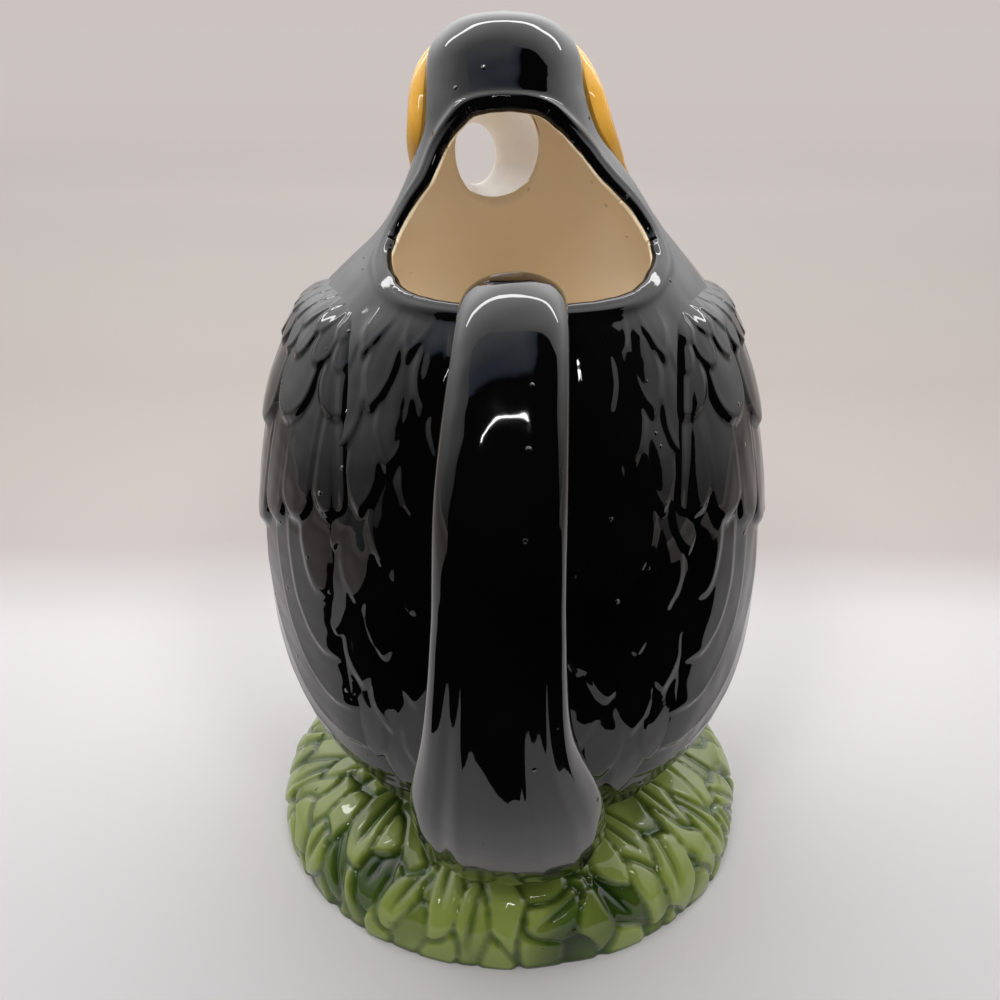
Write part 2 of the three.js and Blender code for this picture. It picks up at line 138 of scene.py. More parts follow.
# Tail handle: bow, y, rise, half width and half thickness of each station
HANDLE_STATIONS = (
    (0.8, -24, 156, 13, 7.5),
    (0.5, -44, 165.4, 12.8, 7.5),
    (0.3, -68, 174.4, 12.7, 7.5),
    (-0.4, -86.5, 168, 13.3, 7.75),
    (-2.3, -103.8, 141, 14.9, 8),
    (-2.8, -110, 109.5, 15.6, 8.25),
    (-3.0, -107, 78, 18.5, 8.5),
    (-1.0, -96, 48, 25.5, 9.5),
    (0.5, -79, 21, 27, 10),
    (1.0, -58, 6, 27, 11.5),
)


# Curves and surfaces

def smooth_curve(stations, share):
    """Points at shares from 0 to 1 of a smooth curve through evenly spaced stations."""
    points = np.asarray(stations, float)
    padded = np.vstack([2 * points[0] - points[1], points, 2 * points[-1] - points[-2]])
    place = np.clip(share, 0, 1) * (len(points) - 1)
    index = np.minimum(place.astype(int), len(points) - 2)
    part = (place - index)[..., None]
    a, b, c, d = (padded[index + step] for step in range(4))
    return b + 0.5 * part * ((c - a) + part * ((2 * a - 5 * b + 4 * c - d) + part * (3 * (b - c) + d - a)))


def form_at(stations, share):
    """Each measure of the stations along their smooth curve, at shares from 0 to 1."""
    return np.moveaxis(smooth_curve(stations, share), -1, 0)


def smoothstep(value, low, high):
    share = np.clip((value - low) / (high - low), 0, 1)
    return share * share * (3 - 2 * share)


def blend(start, end, share):
    return start + (end - start) * share


def rounded_edge(inside, width):
    """0 at an edge, rising over the width to 1 along a quarter circle."""
    share = np.clip(inside / width, 0, 1)
    return np.sqrt(1 - (1 - share) ** 2)


def hump(value, place, width):
    """1 at a place, falling away smoothly over about the width on both sides."""
    return np.exp(-((value - place) / width) ** 2)


def full_turn(count):
    return np.linspace(0, 2 * math.pi, count, endpoint=False)


def run_along(points):
    """Length along a line of points from its start to each point."""
    return np.concatenate([[0], np.cumsum(np.linalg.norm(np.diff(points, axis=0), axis=1))])


def body_surface(level, angle):
    """Points of the body form at levels 0 to 1 and angles from straight ahead, positive to the right."""
    level, angle = np.broadcast_arrays(level, angle)
    rise, half_width, front, back, middle, lean = form_at(BODY_STATIONS, level)
    ahead = np.cos(angle)
    reach = np.where(ahead > 0, front - middle, middle - back)
    return np.stack([lean + half_width * np.sin(angle), middle + reach * ahead, SEAT_LEVEL + rise], -1)


def unit(vectors):
    return vectors / np.maximum(np.linalg.norm(vectors, axis=-1, keepdims=True), 1e-9)


def moves(lengths, direction):
    """Vectors in a direction, each with its own length."""
    return np.asarray(lengths)[..., None] * direction


def body_normal(level, angle):
    nudge = 1e-3
    around = body_surface(level, angle + nudge) - body_surface(level, angle - nudge)
    above = body_surface(np.minimum(level + nudge, 1), angle)
    below = body_surface(np.maximum(level - nudge, 0), angle)
    return unit(np.cross(above - below, around))


def body_point(level, angle, outwards):
    return body_surface(level, angle) + moves(outwards, body_normal(level, angle))


_levels = np.linspace(0, 1, 4001)
_rises = smooth_curve(BODY_STATIONS, _levels)[:, 0]


def level_at(rise):
    return np.interp(rise, _rises, _levels)


def outside_body(points):
    """Rough level distance of points outside the body form, negative inside it."""
    rise = points[..., 2] - SEAT_LEVEL
    _, half_width, front, back, middle, lean = form_at(BODY_STATIONS, level_at(rise))
    ahead = points[..., 1] - middle
    reach = np.where(ahead > 0, front - middle, middle - back)
    ratio = np.hypot((points[..., 0] - lean) / np.maximum(half_width, 1), ahead / np.maximum(reach, 1))
    return (ratio - 1) * np.minimum(half_width, reach)


WOBBLE_WAVES = 6


def wobble(points, size, seed):
    """Slow hand-made unevenness, about -1 to 1, with waves of the given size."""
    chance = np.random.default_rng(seed)
    total = np.zeros(points.shape[:-1])
    for _ in range(WOBBLE_WAVES):
        direction = unit(chance.normal(size=3))
        wave = 2 * math.pi / (size * chance.uniform(0.7, 1.5))
        total += np.sin(points @ direction * wave + chance.uniform(0, 2 * math.pi))
    return total / (WOBBLE_WAVES / 2)


def soften(heights, passes, wrap):
    """Blurs a height map slightly, as glaze fills corners."""
    for _ in range(passes):
        rows = np.pad(heights, ((1, 1), (0, 0)), mode="edge")
        heights = (rows[:-2] + 2 * rows[1:-1] + rows[2:]) / 4
        columns = np.pad(heights, ((0, 0), (1, 1)), mode="wrap" if wrap else "edge")
        heights = (columns[:, :-2] + 2 * columns[:, 1:-1] + columns[:, 2:]) / 4
    return heights


# Meshes

def new_piece(name, points, faces, material, nodes, attributes=None):
    """Piece from points in millimetres and arrays of quads and triangles, riding on the body."""
    mesh = bpy.data.meshes.new(name)
    counts = np.concatenate([np.full(len(group), group.shape[1]) for group in faces])
    corners = np.concatenate([group.ravel() for group in faces]).astype(np.int32)
    starts = np.concatenate([[0], np.cumsum(counts)[:-1]]).astype(np.int32)
    mesh.vertices.add(len(points))
    mesh.vertices.foreach_set("co", ((points + HOME) * MM).astype(np.float32).ravel())
    mesh.loops.add(len(corners))
    mesh.loops.foreach_set("vertex_index", corners)
    mesh.polygons.add(len(counts))
    mesh.polygons.foreach_set("loop_start", starts)
    mesh.polygons.foreach_set("use_smooth", np.ones(len(counts), bool))
    for attribute, values in (attributes or {}).items():
        layer = mesh.attributes.new(attribute, "FLOAT", "POINT")
        layer.data.foreach_set("value", np.asarray(values, np.float32).ravel())
    mesh.update(calc_edges=True)
    mesh.validate()
    mesh.materials.append(material)
    piece = bpy.data.objects.new(name, mesh)
    bpy.context.scene.collection.objects.link(piece)
    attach(piece, "root")
    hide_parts(*nodes)
    return piece


def weld(piece):
    """Merges points that coincide, such as a ring drawn in to a tip."""
    form = bmesh.new()
    form.from_mesh(piece.data)
    bmesh.ops.remove_doubles(form, verts=form.verts, dist=WELD_GAP)
    form.to_mesh(piece.data)
    form.free()


def grid_cells(rows, columns, wrap):
    """Corner numbers of each cell of a grid, in order round the cell."""
    row = np.arange(rows - 1)[:, None] * columns
    column = np.arange(columns if wrap else columns - 1)[None, :]
    after = (column + 1) % columns
    cells = [row + column, row + columns + column, row + columns + after, row + after]
    return np.stack(np.broadcast_arrays(*cells), -1).reshape(-1, 4)


def band(near, far):
    """Quads between two loops with as many points each."""
    return np.stack([np.roll(near, -1), near, far, np.roll(far, -1)], 1)


def closed_cells(rows, columns):
    """Corner numbers of each cell of a grid that wraps both ways."""
    first = np.arange(columns)
    return np.concatenate([grid_cells(rows, columns, True), band(first + (rows - 1) * columns, first)])


def fan(loop, tip):
    """Triangles between a loop and one point."""
    return np.stack([loop, np.roll(loop, -1), np.full(len(loop), tip)], 1)


class Clip:
    """The part of a grid where a field is positive, with its cut edges chained into loops."""

    def __init__(self, field, wrap):
        rows, columns = field.shape
        values = field.ravel()
        cells = grid_cells(rows, columns, wrap)
        kept = (values[cells] > 0).sum(1)
        self.count = rows * columns
        self.quads = cells[kept == 4]
        self.cuts = []
        self.numbers = {}
        triangles = []
        follow = {}
        for cell in cells[(kept > 0) & (kept < 4)]:
            polygon = []
            for corner, after in zip(cell, np.roll(cell, -1)):
                if values[corner] > 0:
                    polygon.append(int(corner))
                if (values[corner] > 0) != (values[after] > 0):
                    polygon.append(self.cut(int(corner), int(after), values))
            for here, there in zip(polygon, polygon[1:] + polygon[:1]):
                if here >= self.count and there >= self.count:
                    follow[here] = there
            triangles += [(polygon[0], polygon[k], polygon[k + 1]) for k in range(1, len(polygon) - 1)]
        self.triangles = np.array(triangles, int).reshape(-1, 3)
        self.loops = []
        while follow:
            start, here = follow.popitem()
            loop = [start]
            while here not in (start, None):
                loop.append(here)
                here = follow.pop(here, None)
            self.loops.append(np.array(loop))

    def cut(self, here, there, values):
        key = (min(here, there), max(here, there))
        if key not in self.numbers:
            low, high = key
            self.numbers[key] = self.count + len(self.cuts)
            self.cuts.append((low, high, values[low] / (values[low] - values[high])))
        return self.numbers[key]

    def with_cuts(self, grid):
        """Grid values followed by the values at the cut edges."""
        flat = grid.reshape(self.count, -1)
        if not self.cuts:
            return flat
        low = np.array([cut[0] for cut in self.cuts])
        high = np.array([cut[1] for cut in self.cuts])
        share = np.array([cut[2] for cut in self.cuts])[:, None]
        return np.concatenate([flat, flat[low] * (1 - share) + flat[high] * share])

    def two_sided(self, count):
        """Quads and triangles of the grid, and again turned over for a second grid, count points later."""
        return [np.concatenate([cells, cells[:, ::-1] + count]) for cells in (self.quads, self.triangles)]

    def with_caps(self, grid):
        """Grid points, cut points and the middles of the cut loops, and the fans that close the loops."""
        points = self.with_cuts(grid)
        fans = [fan(loop, len(points) + number)[:, ::-1] for number, loop in enumerate(self.loops)]
        middles = [points[loop].mean(0) for loop in self.loops]
        return np.vstack([points] + middles), np.concatenate(fans)


# Feather relief. A sheet is a height map with the angle in degrees and the rise of each of its points.

FEATHER_DEGREE = 1.25
FEATHER_RIM = 0.22
FEATHER_RIM_WIDTH = 0.8
FEATHER_CROWN = 0.35
FEATHER_ROOT = 0.1
FEATHER_SWELL = 0.8
POINTED_END = 1.9
POINTED_TAPER = 1.7
ROUND_END = 1.05

# Limits of a feather's chance place, tip, width, slant and lift, as shares of its row's sizes
ROW_CHANCES = ((-0.05, 0.05), (-0.02, 0.02), (0.97, 1.1), (-0.06, 0.06), (0.88, 1.05))

# Flight feathers: height of the flat blade, and height and width of the ridges along its outer edge
PRIMARY_BLADE = 0.25
PRIMARY_RIDGES = ((0.55, 7), (0.2, 2))
PRIMARY_DEGREE = 1.3
PRIMARY_EDGE = 1.3
PRIMARY_TIP_SLOPE = 1.2
PRIMARY_HOOK = 2.2
PRIMARY_FADE = 9


def lay_feather(sheet, root, tip, half_width, lift, edge, pointed, base=0.0):
    """Raises the sheet where a feather lies, the higher surface winning."""
    heights, angles, rises = sheet
    (root_angle, root_rise), (tip_angle, tip_rise) = root, tip
    along = (root_rise - rises) / (root_rise - tip_rise)
    centre = blend(root_angle, tip_angle, along)
    across = (angles - centre) / half_width
    inside = (along >= 0) & (along < 1) & (np.abs(across) < 1)
    if not inside.any():
        return
    along, across = along[inside], across[inside]
    end_length = (POINTED_END if pointed else ROUND_END) * half_width * FEATHER_DEGREE
    start = 1 - end_length / (root_rise - tip_rise)
    end = np.clip((along - start) / (1 - start), 0, 1)
    half = 1 - end ** POINTED_TAPER if pointed else np.sqrt(1 - end ** 2)
    margin = (half - np.abs(across)) * half_width * FEATHER_DEGREE
    crown = 1 - FEATHER_CROWN * across ** 2
    rim = FEATHER_RIM * hump(margin, edge, FEATHER_RIM_WIDTH)
    swell = blend(FEATHER_ROOT, 1, along ** FEATHER_SWELL)
    height = (base + lift * swell * crown + rim) * rounded_edge(margin, edge)
    heights[inside] = np.maximum(heights[inside], np.where(margin > 0, height, 0))


def lay_row(sheet, chance, centres, tip_rise_of, length, half_width, lift, edge, base):
    """Row of round feathers side by side, each a little different."""
    for centre in centres:
        aside, drop, wide, slant, high = (chance.uniform(*limits) for limits in ROW_CHANCES)
        middle = centre + aside * half_width
        low = tip_rise_of(middle) + drop * length
        root = (middle, low + length)
        tip = (middle + slant * half_width, low)
        lay_feather(sheet, root, tip, half_width * wide, lift * high, edge, False, base)


def lay_primary(sheet, start, tip, base, lift):
    """Long flight feather whose outer edge sweeps from its start down and back to a hooked tip."""
    heights, angles, rises = sheet
    (start_angle, start_rise), (tip_angle, tip_rise) = start, tip
    along = np.clip((start_rise - rises) / (start_rise - tip_rise), 0, 1)
    outline = blend(start_angle, tip_angle, 1 - np.sqrt(1 - along ** PRIMARY_HOOK))
    margin = np.minimum((angles - outline) * PRIMARY_DEGREE, (rises - tip_rise) * PRIMARY_TIP_SLOPE)
    inside = np.maximum(margin, 0)
    ridges = (high * np.exp(-inside / width) for high, width in PRIMARY_RIDGES)
    blade = sum(ridges, PRIMARY_BLADE)
    fade = 1 - smoothstep(angles, tip_angle, tip_angle + PRIMARY_FADE)
    height = (base + lift * blade) * rounded_edge(margin, PRIMARY_EDGE) * fade
    heights[:] = np.maximum(heights, np.where(margin > 0, height, 0))


# Materials

GLAZE_IOR = 1.55
BLACK_IOR = 1.6
SPECK_SCALE = 150
SPECK_HEIGHT = 0.0007
PEEL_SCALE = 160
PEEL_STRENGTH = 0.35
PEEL_HEIGHT = 0.00012
POLISH_SCALE = 45
POLISH = (0.02, 0.07)


def node_material(name):
    material = bpy.data.materials.new(name)
    material.use_nodes = True
    tree = material.node_tree
    return material, tree, tree.nodes["Principled BSDF"]


def feed(node, inputs):
    """Sets a node's inputs, each to a plain value or to another node's output."""
    for key, value in inputs.items():
        if isinstance(value, bpy.types.NodeSocket):
            node.id_data.links.new(value, node.inputs[key])
        else:
            node.inputs[key].default_value = value


def add_node(tree, kind, inputs, **settings):
    node = tree.nodes.new(kind)
    for key, value in settings.items():
        setattr(node, key, value)
    feed(node, inputs)
    return node


def calculate(tree, operation, *values, **settings):
    """Sum, product or the like of numbers and other nodes' outputs."""
    node = add_node(tree, "ShaderNodeMath", dict(enumerate(values)), operation=operation, **settings)
    return node.outputs["Value"]


def coordinates(tree, kind="Object"):
    return add_node(tree, "ShaderNodeTexCoord", {}).outputs[kind]


def split(tree, vector):
    """The X, Y and Z outputs of a place or direction."""
    return add_node(tree, "ShaderNodeSeparateXYZ", {"Vector": vector}).outputs


def noise(tree, scale, detail=3.0):
    inputs = {"Vector": coordinates(tree), "Scale": scale, "Detail": detail}
    return add_node(tree, "ShaderNodeTexNoise", inputs).outputs["Fac"]


def ramp(tree, factor, stops):
    """Colour ramp from a list of positions and colours."""
    node = add_node(tree, "ShaderNodeValToRGB", {"Fac": factor})
    elements = node.color_ramp.elements
    while len(elements) < len(stops):
        elements.new(0.5)
    for element, (position, colour) in zip(elements, stops):
        element.position = position
        element.color = (*colour, 1)
    return node.outputs["Color"]


def mottled(tree, tones, scale, detail=3.0):
    """Colour that varies softly between tones."""
    return ramp(tree, noise(tree, scale, detail), tones)


def grey(value):
    return (value, value, value)


def spread(tree, factor, low, high):
    """A number between two limits from a factor between 0 and 1."""
    inputs = {"Value": factor, "To Min": low, "To Max": high}
    return add_node(tree, "ShaderNodeMapRange", inputs).outputs["Result"]


def mixed(tree, share, first, second):
    """Colour between two others."""
    inputs = {"Factor": share, "A": first, "B": second}
    return add_node(tree, "ShaderNodeMix", inputs, data_type="RGBA").outputs["Result"]


def stored(tree, name):
    """Value kept at the mesh's points."""
    return add_node(tree, "ShaderNodeAttribute", {}, attribute_name=name).outputs["Fac"]


def uneven(tree, name, amount, scale, detail):
    """Value kept at the mesh's points, made ragged by noise."""
    return calculate(tree, "MULTIPLY_ADD", noise(tree, scale, detail), amount, stored(tree, name))


def glaze_specks(tree):
    """Sparse pinhead bumps in the glaze, from the cells of a fine pattern."""
    inputs = {"Vector": coordinates(tree), "Scale": SPECK_SCALE}
    cells = add_node(tree, "ShaderNodeTexVoronoi", inputs).outputs
    dots = ramp(tree, cells["Distance"], [(0.0, grey(1)), (0.11, grey(0))])
    some = ramp(tree, cells["Color"], [(0.62, grey(0)), (0.66, grey(1))])
    return calculate(tree, "MULTIPLY", dots, some)


def glaze(tree, shader, colour, ior=GLAZE_IOR, specks=True, peel_height=PEEL_HEIGHT):
    """Fired gloss glaze: faint orange peel, pinhead bumps and uneven polish."""
    peel = {"Strength": PEEL_STRENGTH, "Distance": peel_height, "Height": noise(tree, PEEL_SCALE, 2)}
    normal = add_node(tree, "ShaderNodeBump", peel).outputs["Normal"]
    if specks:
        dots = {"Strength": 1.0, "Distance": SPECK_HEIGHT, "Height": glaze_specks(tree), "Normal": normal}
        normal = add_node(tree, "ShaderNodeBump", dots).outputs["Normal"]
    polish = spread(tree, noise(tree, POLISH_SCALE), *POLISH)
    feed(shader, {"Base Color": colour, "IOR": ior, "Normal": normal, "Roughness": polish})


BLACK_TONES = ((0.3, (0.0006, 0.0006, 0.0008)), (0.75, (0.0018, 0.0016, 0.0016)))


def black_colour(tree):
    return mottled(tree, BLACK_TONES, scale=30)


def black_glaze():
    material, tree, shader = node_material("black_glaze")
    glaze(tree, shader, black_colour(tree), BLACK_IOR)
    return material


# Cream lining, the line where it starts, and painted light: a faint glow in the lining's own colour that
# brightens its shaded inside
CREAM_TONES = ((0.3, (0.9, 0.75, 0.53)), (0.7, (0.92, 0.8, 0.61)))
LINING_START = ((0.58, grey(0)), (0.64, grey(1)))
LINING_PAINTED_LIGHT = 0.04


def lined_glaze():
    """Black glaze outside and cream glaze inside, meeting on an uneven line just inside the lip."""
    material, tree, shader = node_material("black_glaze_cream_lining")
    share = ramp(tree, uneven(tree, "lining", amount=0.12, scale=260, detail=4), LINING_START)
    colour = mixed(tree, share, black_colour(tree), mottled(tree, CREAM_TONES, scale=18, detail=4))
    # Painted light: the lining glows faintly in its own colour, so the shaded inside looks brighter
    feed(shader, {"Emission Color": colour, "Emission Strength": LINING_PAINTED_LIGHT})
    glaze(tree, shader, colour, BLACK_IOR)
    return material


# Green tones from the pools between the leaves up to the leaves' edges
LEAF_TONES = (
    (0.2, (0.011, 0.026, 0.004)),
    (0.6, (0.05, 0.085, 0.012)),
    (0.9, (0.15, 0.195, 0.038)),
    (1.0, (0.225, 0.28, 0.065)),
)


def green_glaze():
    """Translucent green glaze, dark where it pools between the leaves, thin and yellow on their edges."""
    material, tree, shader = node_material("green_glaze")
    height = uneven(tree, "leaf_height", amount=0.35, scale=55, detail=5)
    glaze(tree, shader, ramp(tree, height, LEAF_TONES), peel_height=0.0002)
    return material


def colour_glaze(name, tones, scale):
    """Opaque coloured glaze that varies softly between its colours."""
    material, tree, shader = node_material(name)
    glaze(tree, shader, mottled(tree, tones, scale, 4), peel_height=0.00015)
    return material


YELLOW_TONES = ((0.25, (0.49, 0.245, 0.032)), (0.75, (0.6, 0.34, 0.065)))
FOOT_TONES = ((0.25, (0.08, 0.1, 0.13)), (0.75, (0.16, 0.19, 0.24)))
BLACK = black_glaze()
LINED = lined_glaze()
GREEN = green_glaze()
YELLOW = colour_glaze("yellow_glaze", YELLOW_TONES, scale=40)
GREY = colour_glaze("foot_glaze", FOOT_TONES, scale=60)


# Body shell with its mouth, lip and lining

# First angle, last angle and step of the columns on each side, close together where the back feathers show
COLUMN_RANGES = ((0.45, 62, 0.9), (62, 138, 1.4), (138, 180, 0.5))

# The mouth lies behind this y and between these rises, and the bill's bore lies ahead of it
MOUTH_FRONT = 30.0
MOUTH_RISES = (150, 228)

# Distance given to all points that are not near
FAR = 30.0


def column_angles():
    """Angles round the body, the same on both sides."""
    half = np.concatenate([np.arange(*stretch) for stretch in COLUMN_RANGES])
    return np.radians(np.concatenate([-half[::-1], half]))


def row_levels():
    """Levels spaced evenly along the back of the body."""
    levels = np.linspace(0, CROWN_LEVEL, 3000)
    run = run_along(body_surface(levels, math.pi))
    return np.interp(np.linspace(0, run[-1], int(run[-1] / BODY_ROW_STEP)), run, levels)


def mouth_distance(points):
    """Distance from the mouth's edge seen from the side, negative in the mouth."""
    edge = smooth_curve(MOUTH_EDGE, np.linspace(0, 1, 160))
    rise = points[..., 2] - SEAT_LEVEL
    y = points[..., 1]
    near = (rise > MOUTH_RISES[0]) & (rise < MOUTH_RISES[1]) & (y < MOUTH_FRONT)
    distance = np.full(rise.shape, FAR)
    gaps = np.hypot(rise[near][:, None] - edge[:, 0], y[near][:, None] - edge[:, 1])
    limit = np.interp(rise[near], edge[::-1, 0], edge[::-1, 1])
    in_mouth = (rise[near] < edge[0, 0]) & (rise[near] > edge[-1, 0]) & (y[near] < limit)
    distance[near] = gaps.min(1) * np.where(in_mouth, -1, 1)
    return distance


def bill_axes():
    """Across, along and up directions of the bill."""
    along = np.array([-math.sin(BILL_TURN) * math.cos(BILL_DIP), math.cos(BILL_TURN) * math.cos(BILL_DIP),
                      -math.sin(BILL_DIP)])
    across = np.array([math.cos(BILL_TURN), math.sin(BILL_TURN), 0.0])
    return across, along, np.cross(across, along)


def bore_distance(points, margin):
    """Distance outside the bill's bore, enlarged by a margin, negative in the bore."""
    across, along, up = bill_axes()
    offset = points - BILL_ROOT
    share = offset @ along / BILL_STATIONS[-1][0]
    _, half_width, half_height, lift = form_at(BILL_STATIONS, share)
    wide = half_width - BILL_WALL + margin
    high = half_height - BILL_WALL + margin
    ratio = np.hypot(offset @ across / wide, (offset @ up - lift) / high)
    return np.where(offset @ along > 0, (ratio - 1) * np.minimum(wide, high), FAR)


# Back feathers: columns on each side, their pitch and half width in degrees, and places up the back
BACK_COLUMNS = 28
RAISED_COLUMNS = 7
BACK_PITCH = 6.5
BACK_HALF_WIDTH = 0.76 * BACK_PITCH
BACK_SPACING = 25.5
BACK_LENGTH = 33.0
BACK_LOWEST = 22.0
BACK_HIGHEST = 160.0
BACK_END = 162.0
BACK_FADE = 14.0
RAISED_LIFT = 1.15
FLAT_LIFT = 0.8


def back_feathers(angles, rises):
    """Height map of the scale feathers on the back and breast."""
    chance = np.random.default_rng(11)
    heights = np.zeros(np.broadcast_shapes(angles.shape, rises.shape))
    sheet = (heights, *np.broadcast_arrays(angles, rises))
    for column in range(BACK_COLUMNS):
        lift = RAISED_LIFT if column < RAISED_COLUMNS else FLAT_LIFT
        lowest = BACK_LOWEST + (column % 2) * BACK_SPACING / 2
        for side in (-1, 1) if column else (1,):
            for tip in np.arange(lowest, BACK_HIGHEST, BACK_SPACING):
                middle = side * (180 - BACK_PITCH * column + chance.uniform(-0.5, 0.5))
                low = tip + chance.uniform(-1.5, 1.5)
                size = lift * chance.uniform(0.85, 1.1) * float(smoothstep(BACK_END - low, 0, BACK_FADE))
                for angle in (middle, middle - 360 if middle > 0 else middle + 360):
                    root = (angle, low + BACK_LENGTH)
                    lay_feather(sheet, root, (angle, low), BACK_HALF_WIDTH, size, edge=1.5, pointed=True)
    return heights


LIP_STEPS = 9
LIP_BEAD = 0.8
LIP_BEAD_PLACE = 3.4
LIP_BEAD_WIDTH = 1.15
LIP_UNEVENNESS = 0.07
BORE_FILLET = 2.2
BORE_CLEARANCE = 0.1
BORE_RINGS = (0.05, 0.5)

# Relief fades out this near to the mouth, the foot and the crown
RELIEF_FADE = 12.0


def bore_fillet(points):
    """Moves that curve the inner wall forwards into the bill's bore."""
    _, axis, _ = bill_axes()
    depth = BORE_FILLET * (1 - rounded_edge(bore_distance(points, 0.0), BORE_FILLET))
    return moves(np.where(points[..., 1] > MOUTH_FRONT, depth, 0), axis)


def shell_grids():
    """Outer and inner grids of the body's wall, and a field that is negative in the mouth and the bore."""
    levels = row_levels()[:, None]
    turns = column_angles()[None, :]
    rises = smooth_curve(BODY_STATIONS, levels)[..., 0]
    feathers = soften(back_feathers(np.degrees(turns), rises), 2, True)
    plain = body_surface(levels, turns)
    unevenness = 0.14 * wobble(plain, size=26, seed=3) + 0.05 * wobble(plain, size=9, seed=4)
    from_mouth = mouth_distance(body_point(levels, turns, -BODY_WALL / 2))
    from_crown = BODY_STATIONS[-1][0] - rises
    fade = smoothstep(from_mouth, 3, RELIEF_FADE) * smoothstep(rises, 2, RELIEF_FADE)
    fade = fade * smoothstep(from_crown, 0, RELIEF_FADE)
    bead = LIP_BEAD * hump(from_mouth, LIP_BEAD_PLACE, LIP_BEAD_WIDTH)
    outer = body_point(levels, turns, (feathers + unevenness) * fade + bead)
    floor_level = level_at(BODY_FLOOR)
    inner = body_point(np.maximum(levels, floor_level), turns, -BODY_WALL)
    towards_middle = np.clip(1 - levels / floor_level, 0, 1)[..., None]
    inner = blend(inner, inner[0].mean(0), towards_middle)
    inner = inner + bore_fillet(inner)
    field = np.minimum(from_mouth - BODY_WALL / 2, bore_distance(inner, BORE_CLEARANCE))
    return outer, inner, field


def rim_points(outer, inner):
    """Points between two edge loops: a rolled lip round the mouth, or a straight wall in the bill's bore.
    With them comes each ring's share of the way to the lining."""
    middle = (outer + inner) / 2
    centre = middle.mean(0)
    if centre[1] > MOUTH_FRONT:
        return np.array([blend(outer, inner, share) for share in BORE_RINGS]), np.ones(len(BORE_RINGS))
    across = (outer - inner) / 2
    forward = np.roll(middle, -1, 0) - np.roll(middle, 1, 0)
    into = unit(np.cross(forward, across))
    if (into * (centre - middle)).sum() < 0:
        into = -into
    size = np.linalg.norm(across, axis=1, keepdims=True)
    reach = into * size * (1 + LIP_UNEVENNESS * wobble(middle, 7, 5)[:, None])
    shares = np.arange(1, LIP_STEPS) / LIP_STEPS
    strip = [middle + across * math.cos(turn) + reach * math.sin(turn) for turn in shares * math.pi]
    return np.array(strip), shares


def make_shell():
    outer, inner, field = shell_grids()
    clip = Clip(field, True)
    outer_points = clip.with_cuts(outer)
    inner_points = clip.with_cuts(inner)
    count = len(outer_points)
    points = [outer_points, inner_points]
    lining = [np.zeros(count), np.ones(count)]
    quads, triangles = ([cells] for cells in clip.two_sided(count))
    total = 2 * count
    for loop in clip.loops:
        strip, shares = rim_points(outer_points[loop], inner_points[loop])
        between = total + np.arange(strip.shape[0] * len(loop)).reshape(strip.shape[:2])
        rings = [loop, *between, loop + count]
        quads += [band(near, far) for near, far in zip(rings, rings[1:])]
        points.append(strip.reshape(-1, 3))
        lining.append(np.repeat(shares, len(loop)))
        total += between.size
    crown = body_surface(1.0, 0.0)
    points.append(np.array([outer[0].mean(0), inner[0].mean(0), crown, crown - (0, 0, BODY_WALL)]))
    lining.append([0, 1, 0, 1])
    rows, columns = field.shape
    bottom = np.arange(columns)
    top = bottom + (rows - 1) * columns
    triangles += [fan(bottom, total), fan(bottom + count, total + 1)[:, ::-1]]
    triangles += [fan(top, total + 2)[:, ::-1], fan(top + count, total + 3)]
    faces = [np.concatenate(quads), np.concatenate(triangles)]
    nodes = ["body_shell", "head_hood"]
    attributes = {"lining": np.concatenate(lining)}
    new_piece("bird_shell", np.concatenate(points), faces, LINED, nodes, attributes)


# Sprigs: wings and bib, pressed onto the body

SPRIG_DEPTH = 0.4


def sprig_grids(level, turn, heights, edge, sink):
    """Outer and inner grids of a sprig whose edges sink into the body."""
    outer = body_point(level, turn, -sink + (heights + sink) * edge)
    return outer, body_point(level, turn, -sink - SPRIG_DEPTH)


def sprig_piece(name, outer, inner, material, flip, field=None):
    """Closed piece between an outer and an inner grid of points, cut where a field is negative."""
    rows, columns = outer.shape[:2]
    clip = Clip(np.ones((rows, columns)) if field is None else field, False)
    outer = clip.with_cuts(outer)
    inner = clip.with_cuts(inner)
    count = len(outer)
    across = np.arange(columns)
    down = np.arange(rows) * columns
    rim = np.concatenate([across, down[1:] + columns - 1, down[-1] + across[-2::-1], down[-2:0:-1]])
    walls = [band(loop, loop + count) for loop in [rim] + clip.loops]
    walls[0] = walls[0][:, ::-1]
    quads, triangles = clip.two_sided(count)
    quads = np.concatenate([quads] + walls)
    if flip:
        quads, triangles = quads[:, ::-1], triangles[:, ::-1]
    new_piece(name, np.concatenate([outer, inner]), [quads, triangles], material, [name])


# Wings

WING_ROWS = 250
WING_COLUMNS = 210
WING_SINK = 0.8
WING_DEGREE = 1.35
WING_REAR_EDGE = 5.0
WING_FRONT_EDGE = 4.5
WING_TOP_EDGE = 12.0

# The wing slopes down to its rear edge, which a ridge and a groove follow: their places and heights
REAR_SLOPE = 0.4
REAR_SLOPE_WIDTH = 24.0
REAR_RIDGES = ((3, 0.7), (6.5, -0.4))
REAR_RIDGE_WIDTH = 1.8

# Heights of the plain wing, the flight feathers, the bed of the coverts and the shoulder
WING_PLAIN = 0.3
PRIMARY_BASE = 1.6
PRIMARY_STEP = 0.22
PRIMARY_LIFT = 1.2
COVERT_BED = 2.0
SHOULDER_HEIGHT = 3.3
SHOULDER_TIPS = (145, 152, 158.5)

# Rows of coverts hang lower towards the front of the wing, from this angle on
COVERT_REAR = 130


def covert_tip(rear_rise, slope):
    """Function that gives the rise of a row's tips at an angle."""
    return lambda angle: rear_rise - slope * (COVERT_REAR - angle)


third_row_tip = covert_tip(103.5, 0.48)
middle_row_tip = covert_tip(131, 0.36)

